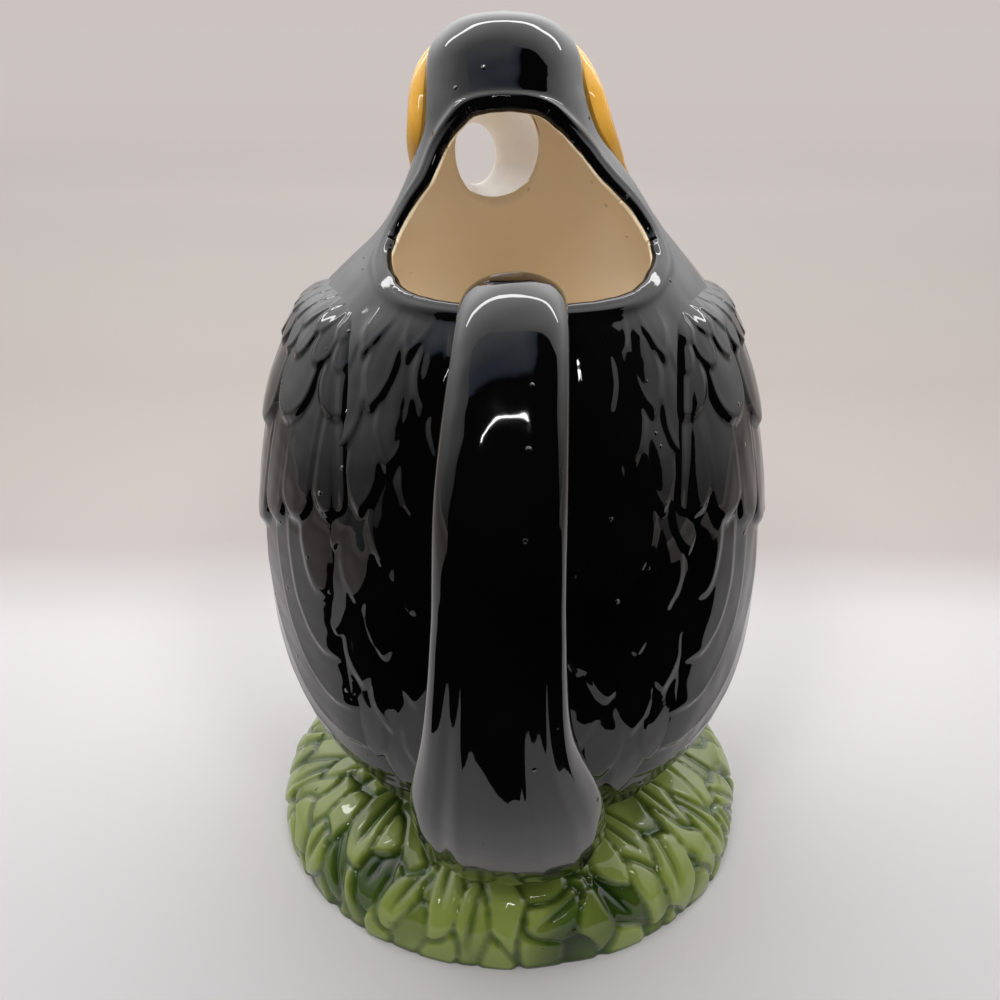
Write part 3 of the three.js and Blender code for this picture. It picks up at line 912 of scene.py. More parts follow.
# Flight feathers from the uppermost outwards: start and tip of the outer edge, as angle and rise
PRIMARIES = (
    ((130.5, 112), (138, 85)),
    ((125, 110), (139.5, 67)),
    ((118.5, 108), (141.5, 51)),
    ((108, 104), (143, 38)),
    ((97, 100), (147, 29)),
    ((85, 96), (150, 21)),
    ((72, 92), (153, 14)),
)


def wing_feathers(angles, rises, seed):
    """Height map of the wing's flight feathers, two rows of coverts and shoulder scales."""
    chance = np.random.default_rng(seed)
    heights = np.full(angles.shape, WING_PLAIN)
    sheet = (heights, angles, rises)
    for number, (start, tip) in enumerate(PRIMARIES):
        lay_primary(sheet, start, tip, PRIMARY_BASE - PRIMARY_STEP * number, PRIMARY_LIFT)
    np.maximum(heights, COVERT_BED * smoothstep(rises - third_row_tip(angles), 9, 14), out=heights)
    third = np.arange(140, 45, -10.4)
    lay_row(sheet, chance, third, third_row_tip, length=42, half_width=5.9, lift=1.9, edge=2.2, base=1.9)
    middle = np.arange(138.2, 50, -15.8)
    lay_row(sheet, chance, middle, middle_row_tip, length=30, half_width=8.4, lift=2.1, edge=2.4, base=2.3)
    for row, tip in enumerate(SHOULDER_TIPS):
        scales = np.arange(136 - 3.9 * (row % 2), 60, -7.8)
        tips = covert_tip(tip, 0)
        lay_row(sheet, chance, scales, tips, length=16, half_width=4.2, lift=1.4, edge=1.8, base=2.9)
    return np.maximum(heights, SHOULDER_HEIGHT * smoothstep(rises, 158, 163))


def make_wing(name, side, seed):
    down = np.linspace(0, 1, WING_ROWS)[:, None]
    across = np.linspace(0, 1, WING_COLUMNS)[None, :]
    rises, rear, front = form_at(WING_STATIONS, down)
    angles = blend(rear, front, across)
    rises = np.broadcast_to(rises, angles.shape)
    from_rear = across * (rear - front) * WING_DEGREE
    from_front = (1 - across) * (rear - front) * WING_DEGREE
    from_tip = rises - rises[-1, 0]
    heights = soften(wing_feathers(angles, rises, seed), 2, False)
    ridge = sum(height * hump(from_rear, place, REAR_RIDGE_WIDTH) for place, height in REAR_RIDGES)
    heights = heights + ridge * smoothstep(150 - rises, 0, 15) * smoothstep(rises, 16, 30)
    top_edge = smoothstep(rises[0, 0] - rises, 0, WING_TOP_EDGE)
    slope = blend(REAR_SLOPE, 1, smoothstep(from_rear, 0, REAR_SLOPE_WIDTH))
    rear_edge = rounded_edge(np.minimum(from_rear, from_tip), WING_REAR_EDGE) * slope
    edge = rear_edge * rounded_edge(from_front, WING_FRONT_EDGE) * top_edge
    level = level_at(rises)
    turn = side * np.radians(angles)
    plain = body_surface(level, turn)
    heights = heights + 0.12 * wobble(plain, 22, seed + 1) + 0.05 * wobble(plain, 8, seed + 2)
    outer, inner = sprig_grids(level, turn, heights, edge, WING_SINK)
    sprig_piece(name, outer, inner, BLACK, side > 0)


# Face and bib

BIB_ROWS = 150
BIB_COLUMNS = 190
BIB_SINK = 0.6
BIB_THICKNESS = 1.8
BIB_OVERLAP = 1.5
BIB_EDGE = 4.0
BIB_END_SLOPE = 1.3
CHEEK_THICKNESS = 2.6
CHEEK_RISE = 211
CHEEK_SPREAD = 17

# Millimetres in a degree round the front, by rise
BIB_DEGREES = ((120, 1.4), (150, 1.3), (170, 1.0), (200, 0.62), (231, 0.4))

# The black cap dips to the bill in the middle of the brow
BROW_DIP = 7.0
BROW_SPREAD = 26.0
BROW_START = 205


def bib_thickness(rises):
    cheek = np.maximum(0, 1 - ((rises - CHEEK_RISE) / CHEEK_SPREAD) ** 2)
    return BIB_THICKNESS + CHEEK_THICKNESS * cheek


def make_bib():
    down = np.linspace(0, 1, BIB_ROWS)[:, None]
    across = np.linspace(-1, 1, BIB_COLUMNS)[None, :]
    rises, side = form_at(BIB_STATIONS, down)
    angles = side * across
    from_sides = (1 - np.abs(across)) * side * np.interp(rises, *zip(*BIB_DEGREES))
    from_ends = np.minimum(rises[0] - rises, rises - rises[-1]) * BIB_END_SLOPE
    brow = hump(angles, 0, BROW_SPREAD) * smoothstep(rises, BROW_START, BIB_STATIONS[0][0])
    rises = rises - BROW_DIP * brow
    edge = rounded_edge(np.minimum(from_sides, from_ends), BIB_EDGE)
    level = level_at(rises)
    turn = np.radians(angles)
    heights = bib_thickness(rises) + 0.1 * wobble(body_surface(level, turn), size=18, seed=31)
    outer, inner = sprig_grids(level, turn, heights, edge, BIB_SINK)
    field = bore_distance(outer, BILL_WALL - BIB_OVERLAP)
    sprig_piece("face_bib", outer, inner, YELLOW, True, field)


# Bill

BILL_ROWS = 131
BILL_COLUMNS = 96
BILL_END = 0.98
BILL_LIP_RINGS = 8
BILL_LIP_BLACK_RINGS = 6
BILL_LIP_REACH = 0.4
BILL_BORE_DEPTH = 0.4
BILL_RIDGE = 0.5
BILL_SEAM = 0.55

# White inside, and warm light that bounces from the lining into the bore
BORE_TONES = ((0.3, (0.9, 0.84, 0.75)), (0.7, (0.93, 0.89, 0.82)))
BORE_LIGHT = (1.0, 0.75, 0.45, 1)
BORE_GLOW = 0.06

# Colours along the outside, from the dark root line to the dark tip
BILL_TONES = (
    (0.3, (0.006, 0.006, 0.007)),
    (0.345, (0.86, 0.42, 0.03)),
    (0.6, (0.82, 0.26, 0.02)),
    (0.84, (0.7, 0.13, 0.015)),
    (0.88, (0.006, 0.006, 0.007)),
)


def bill_glaze():
    """Orange bill with a dark root line and tip, white inside."""
    material, tree, shader = node_material("bill_glaze")
    outside = ramp(tree, uneven(tree, "bill_place", amount=0.06, scale=90, detail=4), BILL_TONES)
    inside = mottled(tree, BORE_TONES, scale=18, detail=4)
    lining = stored(tree, "lining")
    feed(shader, {"Emission Color": BORE_LIGHT, "Emission Strength": spread(tree, lining, 0, BORE_GLOW)})
    glaze(tree, shader, mixed(tree, lining, outside, inside))
    return material


def bill_points(share, turn, outwards):
    """Points of the bill form at shares of its length and turns round it, moved outwards."""
    across, along, up = bill_axes()
    share, turn = np.broadcast_arrays(share, turn)
    run, half_width, half_height, lift = form_at(BILL_STATIONS, share)
    wide = (half_width + outwards) * np.cos(turn)
    high = (half_height + outwards) * np.sin(turn) + lift
    return BILL_ROOT + moves(run, along) + moves(wide, across) + moves(high, up)


def bill_start(turn, outwards, depth):
    """Share of the bill's length where each line along it is at a depth in the body's wall."""
    shares = np.linspace(0, 1, 500)[:, None]
    buried = outside_body(bill_points(shares, turn, outwards)) < -depth
    last = len(shares) - 1 - np.argmax(buried[::-1], axis=0)
    return shares[last, 0]


def make_bill():
    turn = full_turn(BILL_COLUMNS)
    _, along, _ = bill_axes()
    seam = hump(np.sin(turn), -0.18, 0.06)
    ridge = hump(np.sin(turn), 1, 0.02)
    run = np.linspace(0, 1, BILL_ROWS)[:, None]
    start = bill_start(turn, 0, BODY_WALL / 2)
    share = blend(start, BILL_END, run)
    fade = smoothstep(share, 0.3, 0.4) * smoothstep(1 - share, 0, 0.05)
    outside = bill_points(share, turn, (BILL_RIDGE * ridge - BILL_SEAM * seam) * fade)
    outside_place = share - 0.05 * np.sin(turn) * (share > 0.6)
    radius = BILL_WALL / 2
    roll = np.linspace(0, math.pi, BILL_LIP_RINGS + 2)[1:-1, None]
    lip = bill_points(BILL_END, turn, radius * (np.cos(roll) - 1))
    lip = lip + moves(BILL_LIP_REACH * radius * np.sin(roll), along)
    bore_start = bill_start(turn, -BILL_WALL, BILL_BORE_DEPTH)
    inside_share = blend(bore_start, BILL_END, run[::-2])
    inside = bill_points(inside_share, turn, -BILL_WALL)
    points = np.concatenate([outside, lip, inside])
    places = np.concatenate([outside_place, np.ones(lip.shape[:2]), inside_share])
    lip_lining = np.arange(BILL_LIP_RINGS) >= BILL_LIP_BLACK_RINGS
    lining = np.concatenate([np.zeros(BILL_ROWS), lip_lining, np.ones(len(inside))])
    quads = closed_cells(len(points), BILL_COLUMNS)[:, ::-1]
    new_piece("bill_spout", points.reshape(-1, 3), [quads], bill_glaze(), ["bill_spout"],
              {"bill_place": places, "lining": np.repeat(lining, BILL_COLUMNS)})


# Tail handle

HANDLE_ROWS = 330
HANDLE_COLUMNS = 144
HANDLE_SINK = 1.6
LEFT_ROUNDNESS = 2.4
RIGHT_ROUNDNESS = 3.4
END_ROUNDNESS = 2.0
TAIL_BULGE = 0.4
FLARE = 4.0
FLARE_REACH = 7.0
HANDLE_INSET = 0.3
LUMP_INSET = 0.15

# Grooves and ribs down the tail: place across it and height
TAIL_RIBS = ((-0.66, -0.6), (-0.5, 0.5), (0.34, 0.45), (0.7, 0.55))
RIB_WIDTH = 0.07


def rounded(wave, roundness):
    """Sine or cosine of a turn, squared off by a roundness above 2."""
    return np.sign(wave) * np.abs(wave) ** (2 / roundness)


def make_handle():
    share = np.linspace(0, 1, HANDLE_ROWS)[:, None]
    turn = full_turn(HANDLE_COLUMNS)
    bow, y, rise, half_width, half_thickness = form_at(HANDLE_STATIONS, share)
    places = np.stack([bow, y, SEAT_LEVEL + rise], -1)
    side = np.array([1.0, 0.0, 0.0])
    backwards = unit(np.cross(np.gradient(places[:, 0], axis=0), side))[:, None, :]
    roundness = np.where(np.cos(turn) < 0, LEFT_ROUNDNESS, RIGHT_ROUNDNESS)
    near_ends = np.maximum(1 - smoothstep(share, 0.18, 0.42), smoothstep(share, 0.5, 0.8))
    roundness = blend(roundness, END_ROUNDNESS, near_ends)
    wide = rounded(np.cos(turn), roundness)
    deep = rounded(np.sin(turn), roundness)
    outer_face = smoothstep(np.sin(turn), 0.1, 0.5)
    lower = smoothstep(share, 0.5, 0.75)
    bulge = 1 + TAIL_BULGE * outer_face * smoothstep(share, 0.58, 0.75)
    ribs = sum(height * hump(wide, place, RIB_WIDTH) for place, height in TAIL_RIBS)
    depth = half_thickness * bulge * deep + outer_face * lower * ribs - HANDLE_INSET
    points = places + moves(half_width * wide, side) + moves(depth, backwards)
    flare = FLARE * np.clip(1 - outside_body(points) / FLARE_REACH, 0, 1) ** 2 * lower
    points = points + moves(flare * wide, side) + moves(flare * 0.5 * deep, backwards)
    lumps = 0.15 * wobble(points, size=30, seed=41) + 0.06 * wobble(points, size=9, seed=42) * (1 - lower)
    points = points + moves(lumps - LUMP_INSET, backwards)
    start, end = (np.broadcast_to(ring.mean(0), ring.shape)[None] for ring in (points[0], points[-1]))
    points = np.concatenate([start, points, end])
    clip = Clip(outside_body(points) + HANDLE_SINK, True)
    points, caps = clip.with_caps(points)
    faces = [clip.quads, clip.triangles, caps]
    weld(new_piece("tail_handle", points, faces, BLACK, ["tail_handle"]))


# Leaf base

BASE_COLUMNS = 620
BASE_STEP = 0.7
LEAF_DEPTH = 3.4
LEAF_ROWS = ((-1.0, 13.5), (20.0, 11.0), (41.0, 9.5))
LEAF_GROOVE = 1.6
LEAF_EDGE_SCALE = 4.5
SUNKEN_SHARE = 0.14
CREASED_SHARE = 0.35
FOOT_RELIEF = 0.55
FOOT_FADE = 2.5
SEAT_FADE = 2.0
INSIDE_TONE = 0.5
# Leaf tone is made darker in a stripe down the mound behind the bird: its angle, spread and depth
DARK_STRIPE_PLACE = math.radians(166)
DARK_STRIPE_SPREAD = math.radians(8)
DARK_STRIPE_DEPTH = 0.3
POLE_RADIUS = 0.5
HOLLOW_STEPS = 24


def base_profile():
    """Outer half outline of the mound from the foot up to the seat, evenly spaced."""
    turn = np.linspace(0, math.pi / 2, 200)
    arc_r = blend(BASE_SEAT_RADIUS, BASE_RADIUS, np.cos(turn))
    arc_z = blend(BASE_EDGE_HEIGHT, BASE_HEIGHT, np.sin(turn))
    foot_z = np.linspace(0, BASE_EDGE_HEIGHT, 30, endpoint=False)
    foot_r = BASE_RADIUS - FOOT_TUCK * (1 - foot_z / BASE_EDGE_HEIGHT) ** 2
    line = np.stack([np.concatenate([foot_r, arc_r]), np.concatenate([foot_z, arc_z])], 1)
    run = run_along(line)
    even = np.linspace(0, run[-1], int(run[-1] / BASE_STEP))
    return even, np.stack([np.interp(even, run, line[:, 0]), np.interp(even, run, line[:, 1])], 1)


def leaf_places(chance):
    """Angle and height up the mound of each leaf's middle, in uneven rows."""
    for row, (height, spacing) in enumerate(LEAF_ROWS):
        radius = BASE_RADIUS - 0.55 * height
        count = round(2 * math.pi * radius / spacing)
        for number in range(count):
            angle = 2 * math.pi * (number + 0.5 * (row % 2) + chance.uniform(-0.32, 0.32)) / count
            yield angle, height + chance.uniform(-8, 8)


def leaf_heights(around, up, radii):
    """Height map, 0 to 1, of leaves pressed side by side, over angles and heights up the mound."""
    chance = np.random.default_rng(21)
    nearest = np.full((len(up), len(around)), 9.0)
    second = nearest.copy()
    tops = np.zeros(nearest.shape)
    for angle, height in leaf_places(chance):
        half_length = chance.uniform(14, 24)
        half_width = chance.uniform(4.6, 7.4)
        tilt = chance.normal(0, 0.42)
        sunken = chance.uniform() < SUNKEN_SHARE and height > 6
        top = chance.uniform(0.15, 0.45) if sunken else chance.uniform(0.72, 1.0)
        slope = chance.uniform(-0.22, 0.22)
        creased = chance.uniform() < CREASED_SHARE
        aside = ((around[None, :] - angle + math.pi) % (2 * math.pi) - math.pi) * radii[:, None]
        above = (up - height)[:, None]
        along = (above * math.cos(tilt) + aside * math.sin(tilt)) / half_length
        across = (aside * math.cos(tilt) - above * math.sin(tilt)) / half_width
        distance = np.hypot(along, across)
        crease = 0.45 * hump(across, 0, 0.16) * smoothstep(along, -0.5, 0.1) if creased else 0
        closer = distance < nearest
        second = np.where(closer, nearest, np.minimum(second, distance))
        nearest = np.minimum(nearest, distance)
        tops = np.where(closer, np.clip(top + slope * (across + along) - crease, 0, 1), tops)
    return tops * rounded_edge((second - nearest) * LEAF_EDGE_SCALE, LEAF_GROOVE)


def ring_points(radius, height, around):
    """Points round the axis, for each radius and height."""
    return np.stack(np.broadcast_arrays(radius * np.sin(around), radius * np.cos(around), height), -1)


def base_hollow():
    """Radius and height of the rings over the seat and down the hollow inside to the foot ring."""
    top = BASE_HEIGHT - BASE_WALL
    seat = BASE_SEAT_RADIUS - BASE_WALL
    foot = BASE_RADIUS - FOOT_TUCK - FOOT_RING_WIDTH
    turn = np.linspace(math.pi / 2, 0, HOLLOW_STEPS)
    dome = np.stack([blend(seat, foot, np.cos(turn)), top * np.sin(turn)], 1)
    flat = [(BASE_SEAT_RADIUS / 2, BASE_HEIGHT), (POLE_RADIUS, BASE_HEIGHT), (POLE_RADIUS, top)]
    return np.concatenate([flat, dome])


def make_base():
    around = full_turn(BASE_COLUMNS)
    up, line = base_profile()
    heights = soften(leaf_heights(around, up, line[:, 0]), 1, True)
    fade = blend(FOOT_RELIEF, 1, smoothstep(up, 0, FOOT_FADE)) * smoothstep(up[-1] - up, 0, SEAT_FADE)
    slope = np.gradient(line, axis=0)
    outward = unit(np.stack([slope[:, 1], -slope[:, 0]], 1))
    sink = LEAF_DEPTH * (1 - heights) * fade[:, None]
    radius = line[:, :1] - outward[:, :1] * sink
    height = line[:, 1:] - outward[:, 1:] * sink
    height[0] = 0
    hollow = base_hollow()
    inside = ring_points(hollow[:, :1], hollow[:, 1:], around)
    points = np.concatenate([ring_points(radius, height, around), inside])
    quads = closed_cells(len(points), BASE_COLUMNS)
    # Leaf tone is made darker in that stripe and towards the foot of the mound
    dark_stripe = DARK_STRIPE_DEPTH * hump(around, DARK_STRIPE_PLACE, DARK_STRIPE_SPREAD)
    darkened_heights = np.maximum(heights - dark_stripe, 0) * smoothstep(up, -2, FOOT_FADE)[:, None]
    tone = np.concatenate([darkened_heights, np.full(inside.shape[:2], INSIDE_TONE)])
    new_piece("leaf_base", points.reshape(-1, 3), [quads], GREEN, ["leaf_base"],
              {"leaf_height": tone})


# Eyes

EYE_RISE = 216
EYE_ANGLE = 50
EYE_RADIUS = 6.0
EYE_HEIGHT = 3.3
EYE_SEAT = 0.6
EYE_ROWS = 27
EYE_COLUMNS = 56
LID_HEIGHT = 0.55
LID_PLACE = 0.8
LID_WIDTH = 0.09
EYE_TONES = ((0.62, (0.004, 0.004, 0.005)), (0.68, (0.03, 0.1, 0.3)), (0.95, (0.06, 0.17, 0.42)))


def eye_glaze():
    """Black glossy eye in a blue ring."""
    material, tree, shader = node_material("eye_glaze")
    place = uneven(tree, "eye_place", amount=0.05, scale=400, detail=3)
    glaze(tree, shader, ramp(tree, place, EYE_TONES), specks=False)
    return material


def make_eye(name, side, material):
    """Domed eye with a raised lid ring, seated on the cheek."""
    level = np.array(level_at(EYE_RISE))
    turn = np.array(side * math.radians(EYE_ANGLE))
    centre = body_point(level, turn, bib_thickness(EYE_RISE) - EYE_SEAT)
    out = body_normal(level, turn)
    level_side = unit(np.cross(out, (0.0, 0.0, 1.0)))
    upwards = np.cross(level_side, out)
    share = np.linspace(0, 1, EYE_ROWS + 1)[1:, None]
    spin = full_turn(EYE_COLUMNS)
    lid = LID_HEIGHT * hump(share, LID_PLACE, LID_WIDTH)
    dome = EYE_HEIGHT * np.sqrt(np.maximum(0, 1 - share ** 2)) + lid
    aside = EYE_RADIUS * share * np.cos(spin)
    above = EYE_RADIUS * share * np.sin(spin)
    rings = centre + moves(aside, level_side) + moves(above, upwards) + moves(dome, out)
    points = np.concatenate([rings.reshape(-1, 3), [centre + out * EYE_HEIGHT, centre - out * EYE_SEAT]])
    count = EYE_ROWS * EYE_COLUMNS
    first = np.arange(EYE_COLUMNS)
    last = first + count - EYE_COLUMNS
    triangles = np.concatenate([fan(first, count), fan(last, count + 1)[:, ::-1]])
    faces = [grid_cells(EYE_ROWS, EYE_COLUMNS, True), triangles]
    place = np.concatenate([np.repeat(share.ravel(), EYE_COLUMNS), [0, 1]])
    new_piece(name, points, faces, material, [name], {"eye_place": place})


# Feet

TOE_RADIUS = 5.0
TOE_LENGTH = 22.0
TOE_SPLAY = math.radians(11)
TOE_SLOPE = math.radians(20)
TOE_SPACING = 9.0
FOOT_SPREAD = 23.0
FOOT_INSET = 21.0
TOE_ROWS = 90
TOE_COLUMNS = 40
KNUCKLE_SPACING = 5.2
KNUCKLE_DEPTH = 0.07
CLAW_LENGTH = 3.0
CLAW_TAPER = 0.45


def turned(first, second, angle):
    """Two coordinates turned by an angle in their own plane."""
    return (first * math.cos(angle) + second * math.sin(angle),
            second * math.cos(angle) - first * math.sin(angle))


def toe_points(side, which):
    """Closed toe with knuckle scales and a narrow claw end, lying over the front of the mound."""
    share = np.linspace(0, 1, TOE_ROWS)[:, None]
    spin = full_turn(TOE_COLUMNS)
    half = TOE_LENGTH / 2 + TOE_RADIUS
    run = blend(-half, half, share)
    past_end = np.maximum(np.abs(run) - TOE_LENGTH / 2, 0) / TOE_RADIUS
    round_end = np.sqrt(np.maximum(0, 1 - past_end ** 2))
    knuckles = blend(1 - KNUCKLE_DEPTH, 1, np.abs(np.cos(run * math.pi / KNUCKLE_SPACING)))
    claw = 1 - CLAW_TAPER * smoothstep(run, TOE_LENGTH / 2 - CLAW_LENGTH, half)
    radius = TOE_RADIUS * round_end * knuckles * claw
    y, z = turned(run, radius * np.sin(spin), TOE_SLOPE)
    x, y = turned(radius * np.cos(spin), y, which * TOE_SPLAY)
    across = side * FOOT_SPREAD + which * TOE_SPACING / 2
    return np.stack([x + across, y + BASE_RADIUS - FOOT_INSET, z + BASE_HEIGHT], -1).reshape(-1, 3)


def make_foot(name, side):
    toes = [toe_points(side, which) for which in (-1, 1)]
    cells = grid_cells(TOE_ROWS, TOE_COLUMNS, True)
    quads = np.concatenate([cells, cells + len(toes[0])])[:, ::-1]
    weld(new_piece(name, np.concatenate(toes), [quads], GREY, [name]))


make_shell()
make_wing("left_wing", -1, 51)
make_wing("right_wing", 1, 61)
make_bib()
make_bill()
make_handle()
make_base()
EYE = eye_glaze()
make_eye("left_eye", -1, EYE)
make_eye("right_eye", 1, EYE)
make_foot("left_foot", -1)
make_foot("right_foot", 1)


# Camera and light

CAMERA_PLACE = np.array([0.0, -315.0, 266.5])
CAMERA_PITCH = 24.7
CAMERA_TURN = 0.68
FOCAL_SHARE = 1.05
SENSOR_WIDTH = 36
CLIP_START = 0.01

# Point that most lights are turned to, in metres
LIT_PLACE = (0, 0, 0.13)


def make_camera():
    data = bpy.data.cameras.new("camera")
    data.sensor_fit = "HORIZONTAL"
    data.sensor_width = SENSOR_WIDTH
    data.lens = FOCAL_SHARE * SENSOR_WIDTH
    data.clip_start = CLIP_START
    camera = bpy.data.objects.new("camera", data)
    camera.location = (CAMERA_PLACE + HOME) * MM
    camera.rotation_euler = (math.radians(90 - CAMERA_PITCH), 0, math.radians(CAMERA_TURN))
    bpy.context.scene.collection.objects.link(camera)
    bpy.context.scene.camera = camera


def area_light(name, place, size, radiance, target=LIT_PLACE):
    """Rectangular soft light that shows the given radiance, turned to a target, all in metres."""
    data = bpy.data.lights.new(name, "AREA")
    data.shape = "RECTANGLE"
    data.size, data.size_y = size
    data.energy = radiance * math.pi * size[0] * size[1]
    light = bpy.data.objects.new(name, data)
    light.location = place
    direction = Vector(target) - Vector(place)
    light.rotation_euler = direction.to_track_quat("-Z", "Y").to_euler()
    bpy.context.scene.collection.objects.link(light)
    return light


# Brightness of the room in reflections, by the height of a direction and by how far it points ahead
ROOM_STRENGTH = 2.1
ROOM_BY_HEIGHT = ((0.0, grey(0.28)), (0.2, grey(0.56)), (0.35, grey(0.84)), (0.5, grey(1)))
ROOM_BY_FRONT = (
    (0.2, grey(0.12)),
    (0.28, grey(0.27)),
    (0.38, grey(0.35)),
    (0.5, grey(0.6)),
    (0.8, grey(1)),
)


def mirrored_room(tree):
    """The bright room that only reflections see, dim towards the back."""
    direction = split(tree, coordinates(tree, "Generated"))
    ahead = calculate(tree, "MULTIPLY_ADD", direction["Y"], 0.5, 0.5)
    by_height = ramp(tree, direction["Z"], ROOM_BY_HEIGHT)
    colour = calculate(tree, "MULTIPLY", by_height, ramp(tree, ahead, ROOM_BY_FRONT))
    return add_node(tree, "ShaderNodeBackground", {"Color": colour, "Strength": ROOM_STRENGTH})


LIGHT_COLOUR = (0.56, 0.555, 0.56, 1)
WALL_COLOUR = (0.6, 0.545, 0.525, 1)


def make_world():
    """Even studio light, shown to the camera as a warm pale wall and to reflections as a room."""
    world = bpy.data.worlds.new("studio")
    world.use_nodes = True
    tree = world.node_tree
    light = tree.nodes["Background"]
    feed(light, {"Color": LIGHT_COLOUR})
    wall = add_node(tree, "ShaderNodeBackground", {"Color": WALL_COLOUR})
    path = add_node(tree, "ShaderNodeLightPath", {})
    last = light.outputs["Background"]
    for ray, shown in (("Is Glossy Ray", mirrored_room(tree)), ("Is Camera Ray", wall)):
        inputs = {"Fac": path.outputs[ray], 1: last, 2: shown.outputs["Background"]}
        last = add_node(tree, "ShaderNodeMixShader", inputs).outputs["Shader"]
    feed(tree.nodes["World Output"], {"Surface": last})
    bpy.context.scene.world = world
    bpy.context.scene.view_settings.view_transform = "Standard"


def stage_mesh(name, points, faces, material):
    mesh = bpy.data.meshes.new(name)
    mesh.from_pydata(points, [], faces)
    mesh.materials.append(material)
    stage = bpy.data.objects.new(name, mesh)
    bpy.context.scene.collection.objects.link(stage)
    return stage


def seen_in_mirrors_only(stage):
    stage.visible_camera = False
    stage.visible_diffuse = False
    stage.visible_shadow = False
    stage.visible_transmission = False


# Floor: its reach, and its colours at distances ahead, as shares of where the tone stops changing
FLOOR_REACH = 40.0
FLOOR_SCALE = 0.25
FLOOR_AROUND = 0.45
FLOOR_CLEAR = 0.1
FLOOR_PATCHES = 0.01
FLOOR_GLOW = 0.05
FLOOR_TONES = (
    (0.03, (0.62, 0.605, 0.61)),
    (0.05, (0.45, 0.41, 0.395)),
    (0.12, (0.48, 0.435, 0.41)),
    (0.2, (0.6, 0.55, 0.52)),
    (0.36, (0.84, 0.77, 0.73)),
    (0.6, (0.95, 0.87, 0.83)),
    (1.0, (0.98, 0.9, 0.86)),
)


def make_floor():
    """Pale table that runs on into a slightly darker, warmer distance."""
    material, tree, shader = node_material("pale_floor")
    place = coordinates(tree)
    far_off = add_node(tree, "ShaderNodeVectorMath", {0: place}, operation="LENGTH").outputs["Value"]
    around = calculate(tree, "MULTIPLY_ADD", far_off, FLOOR_AROUND, -FLOOR_CLEAR)
    reach = calculate(tree, "MAXIMUM", split(tree, place)["Y"], around)
    patches = spread(tree, noise(tree, scale=4, detail=2), -FLOOR_PATCHES, FLOOR_PATCHES)
    tone = calculate(tree, "MULTIPLY_ADD", reach, FLOOR_SCALE, patches)
    feed(shader, {
        "Base Color": ramp(tree, tone, FLOOR_TONES),
        "Roughness": 0.6,
        "Specular IOR Level": 0.0,
        "Emission Color": (1, 0.93, 0.9, 1),
        "Emission Strength": FLOOR_GLOW,
    })
    corners = [(x * FLOOR_REACH, y * FLOOR_REACH, 0) for x, y in ((-1, -1), (1, -1), (1, 1), (-1, 1))]
    stage_mesh("floor", corners, [(0, 1, 2, 3)], material)


# Dark room behind the camera, in metres: its floor's outline in x and y, and then y, z, left end and
# right end of each row up its back wall and along its roof
DARK_BACK = 0.75
DARK_TOP = 1.1
DARK_ROOF_DEPTH = 0.49
DARK_FLOOR_LEVEL = 0.004
DARK_FLOOR = (
    (-1.2, -DARK_BACK),
    (1.9, -DARK_BACK),
    (0.9, -0.2),
    (0.5, -0.08),
    (0.125, -0.1),
    (0.095, -0.27),
    (0.03, -0.2),
    (0.0, -0.165),
    (-0.03, -0.2),
    (-0.12, -0.27),
    (-0.15, -0.1),
    (-0.33, -0.11),
    (-0.46, -0.22),
)
DARK_ROWS = (
    (-DARK_BACK, DARK_FLOOR_LEVEL, -1.2, 1.9),
    (-DARK_BACK, 0.25, -1.1, 1.8),
    (-DARK_BACK, 0.61, -0.86, 1.6),
    (-DARK_BACK, DARK_TOP, -0.8, 1.5),
    (DARK_ROOF_DEPTH - DARK_BACK, DARK_TOP, -0.7, 1.0),
)

# Glow along the left of the roof, from the back wall forwards
ROOF_GLOW = (
    (0.02, grey(0.003)),
    (0.15, (0.24, 0.29, 0.4)),
    (0.6, (0.5, 0.53, 0.6)),
    (1, (0.7, 0.71, 0.74)),
)
ROOF_LEFT = ((0.08, grey(1)), (0.3, grey(0)))
ROOF_THICKNESS = 0.01
DARK_TONES = ((0, grey(0.002)), (1, grey(0.004)))


def make_dark_room():
    """The unlit room behind the camera, which only reflections see."""
    material, tree, shader = node_material("dark_room")
    place = split(tree, coordinates(tree))
    forwards = calculate(tree, "MULTIPLY_ADD", place["Y"], 1 / DARK_ROOF_DEPTH, DARK_BACK / DARK_ROOF_DEPTH,
                         use_clamp=True)
    on_roof = calculate(tree, "GREATER_THAN", place["Z"], DARK_TOP - ROOF_THICKNESS)
    roof = calculate(tree, "MULTIPLY", forwards, on_roof)
    lit = calculate(tree, "MULTIPLY", roof, ramp(tree, place["X"], ROOF_LEFT))
    feed(shader, {
        "Base Color": mottled(tree, DARK_TONES, scale=2),
        "Roughness": 1.0,
        "Specular IOR Level": 0.0,
        "Emission Color": ramp(tree, lit, ROOF_GLOW),
        "Emission Strength": 1.0,
    })
    points = [(x, y, z) for y, z, left, right in DARK_ROWS for x in (left, right)]
    faces = [(k, k + 1, k + 3, k + 2) for k in range(0, 2 * len(DARK_ROWS) - 2, 2)]
    faces.append(range(len(points), len(points) + len(DARK_FLOOR)))
    points += [(x, y, DARK_FLOOR_LEVEL) for x, y in DARK_FLOOR]
    seen_in_mirrors_only(stage_mesh("dark_room", points, faces, material))


# Thin tube light, in metres: centre, half width and half height of its arc, and angles of its ends
TUBE_CENTRE = np.array([-0.05, -0.62, 0.61])
TUBE_HALF_WIDTH = 0.125
TUBE_HALF_HEIGHT = 0.075
TUBE_ENDS = (30, 190)
TUBE_WIDTH = 0.012
TUBE_STEPS = 48
TUBE_RADIANCE = 30


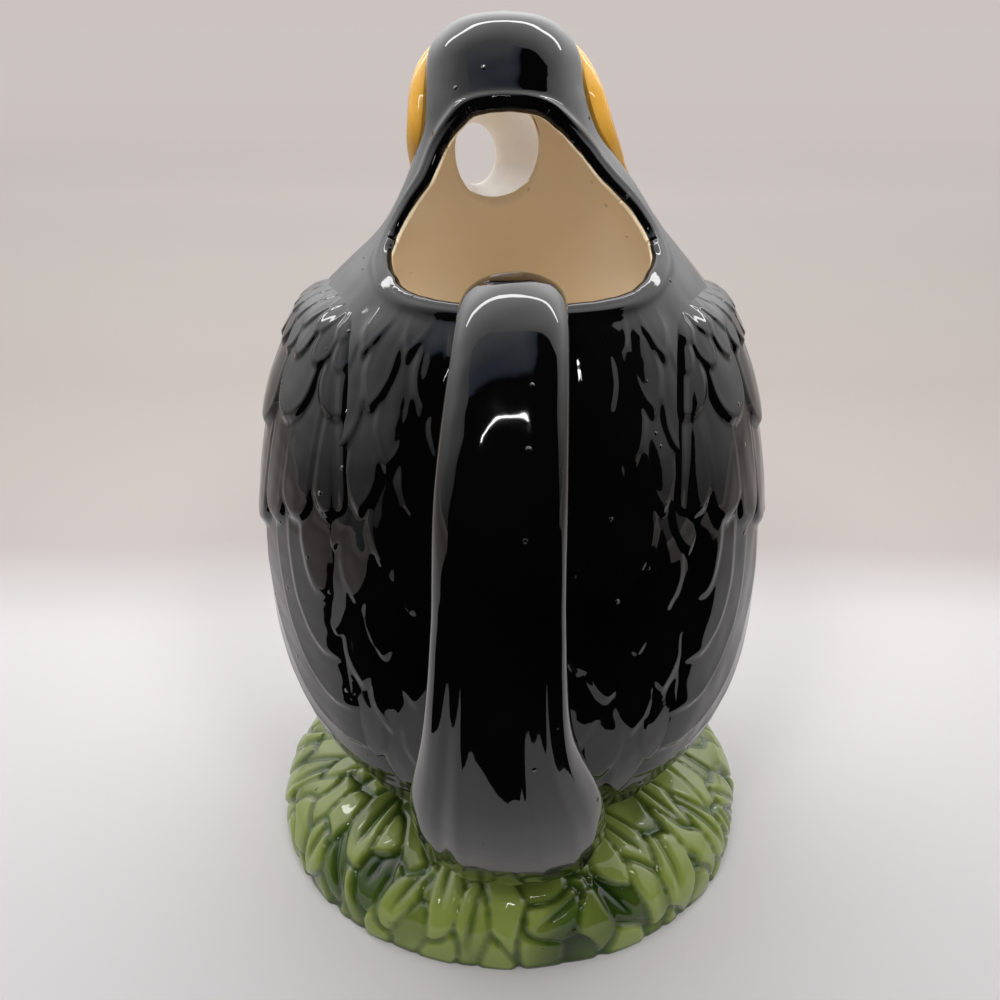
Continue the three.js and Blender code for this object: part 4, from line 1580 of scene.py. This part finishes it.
def make_tube_light():
    """Flat glowing arc turned to the pitcher, which only reflections see."""
    material, _, shader = node_material("front_tube")
    feed(shader, {"Emission Color": (1, 1, 1, 1), "Emission Strength": TUBE_RADIANCE})
    side = np.array((1.0, 0.0, 0.0))
    up = np.cross(side, unit(np.array(LIT_PLACE) - TUBE_CENTRE))
    turn = np.radians(np.linspace(*TUBE_ENDS, TUBE_STEPS))
    points = []
    for edge in (-TUBE_WIDTH / 2, TUBE_WIDTH / 2):
        wide = (TUBE_HALF_WIDTH + edge) * np.cos(turn)
        high = (TUBE_HALF_HEIGHT + edge) * np.sin(turn)
        points += [tuple(point) for point in TUBE_CENTRE + moves(wide, side) + moves(high, up)]
    faces = [(k, k + 1, k + 1 + TUBE_STEPS, k + TUBE_STEPS) for k in range(TUBE_STEPS - 1)]
    seen_in_mirrors_only(stage_mesh("front_tube", points, faces, material))


# Long panel ahead, and soft lights that reflections don't show: place, width and height, and radiance
FAR_PANEL = ((0, 0.3, 0.85), (1.5, 0.06), 9)
SOFT_LIGHTS = {
    "left_wall": ((-0.9, 0.1, 0.8), (1.3, 0.7), 0.85),
    "right_wall": ((0.9, 0.1, 0.8), (1.3, 0.7), 0.45),
    "soft_top": ((0, 0.3, 1.15), (1.2, 0.9), 1.25),
}

# Narrow lights from both sides into the mouth
MOUTH_PLACE = (0, 0, 0.215)
MOUTH_LIGHTS = {"left_mouth_light": (-0.3, -0.5, 0.75), "right_mouth_light": (0.3, -0.5, 0.75)}
MOUTH_LIGHT_SIZE = (0.3, 0.2)
MOUTH_LIGHT_RADIANCE = 0.72
MOUTH_LIGHT_SPREAD = math.radians(28)


def make_lights():
    area_light("far_panel", *FAR_PANEL)
    for name, measures in SOFT_LIGHTS.items():
        area_light(name, *measures).visible_glossy = False
    for name, place in MOUTH_LIGHTS.items():
        light = area_light(name, place, MOUTH_LIGHT_SIZE, MOUTH_LIGHT_RADIANCE, MOUTH_PLACE)
        light.data.spread = MOUTH_LIGHT_SPREAD
        light.visible_glossy = False
    make_tube_light()


make_camera()
make_world()
make_floor()
make_dark_room()
make_lights()
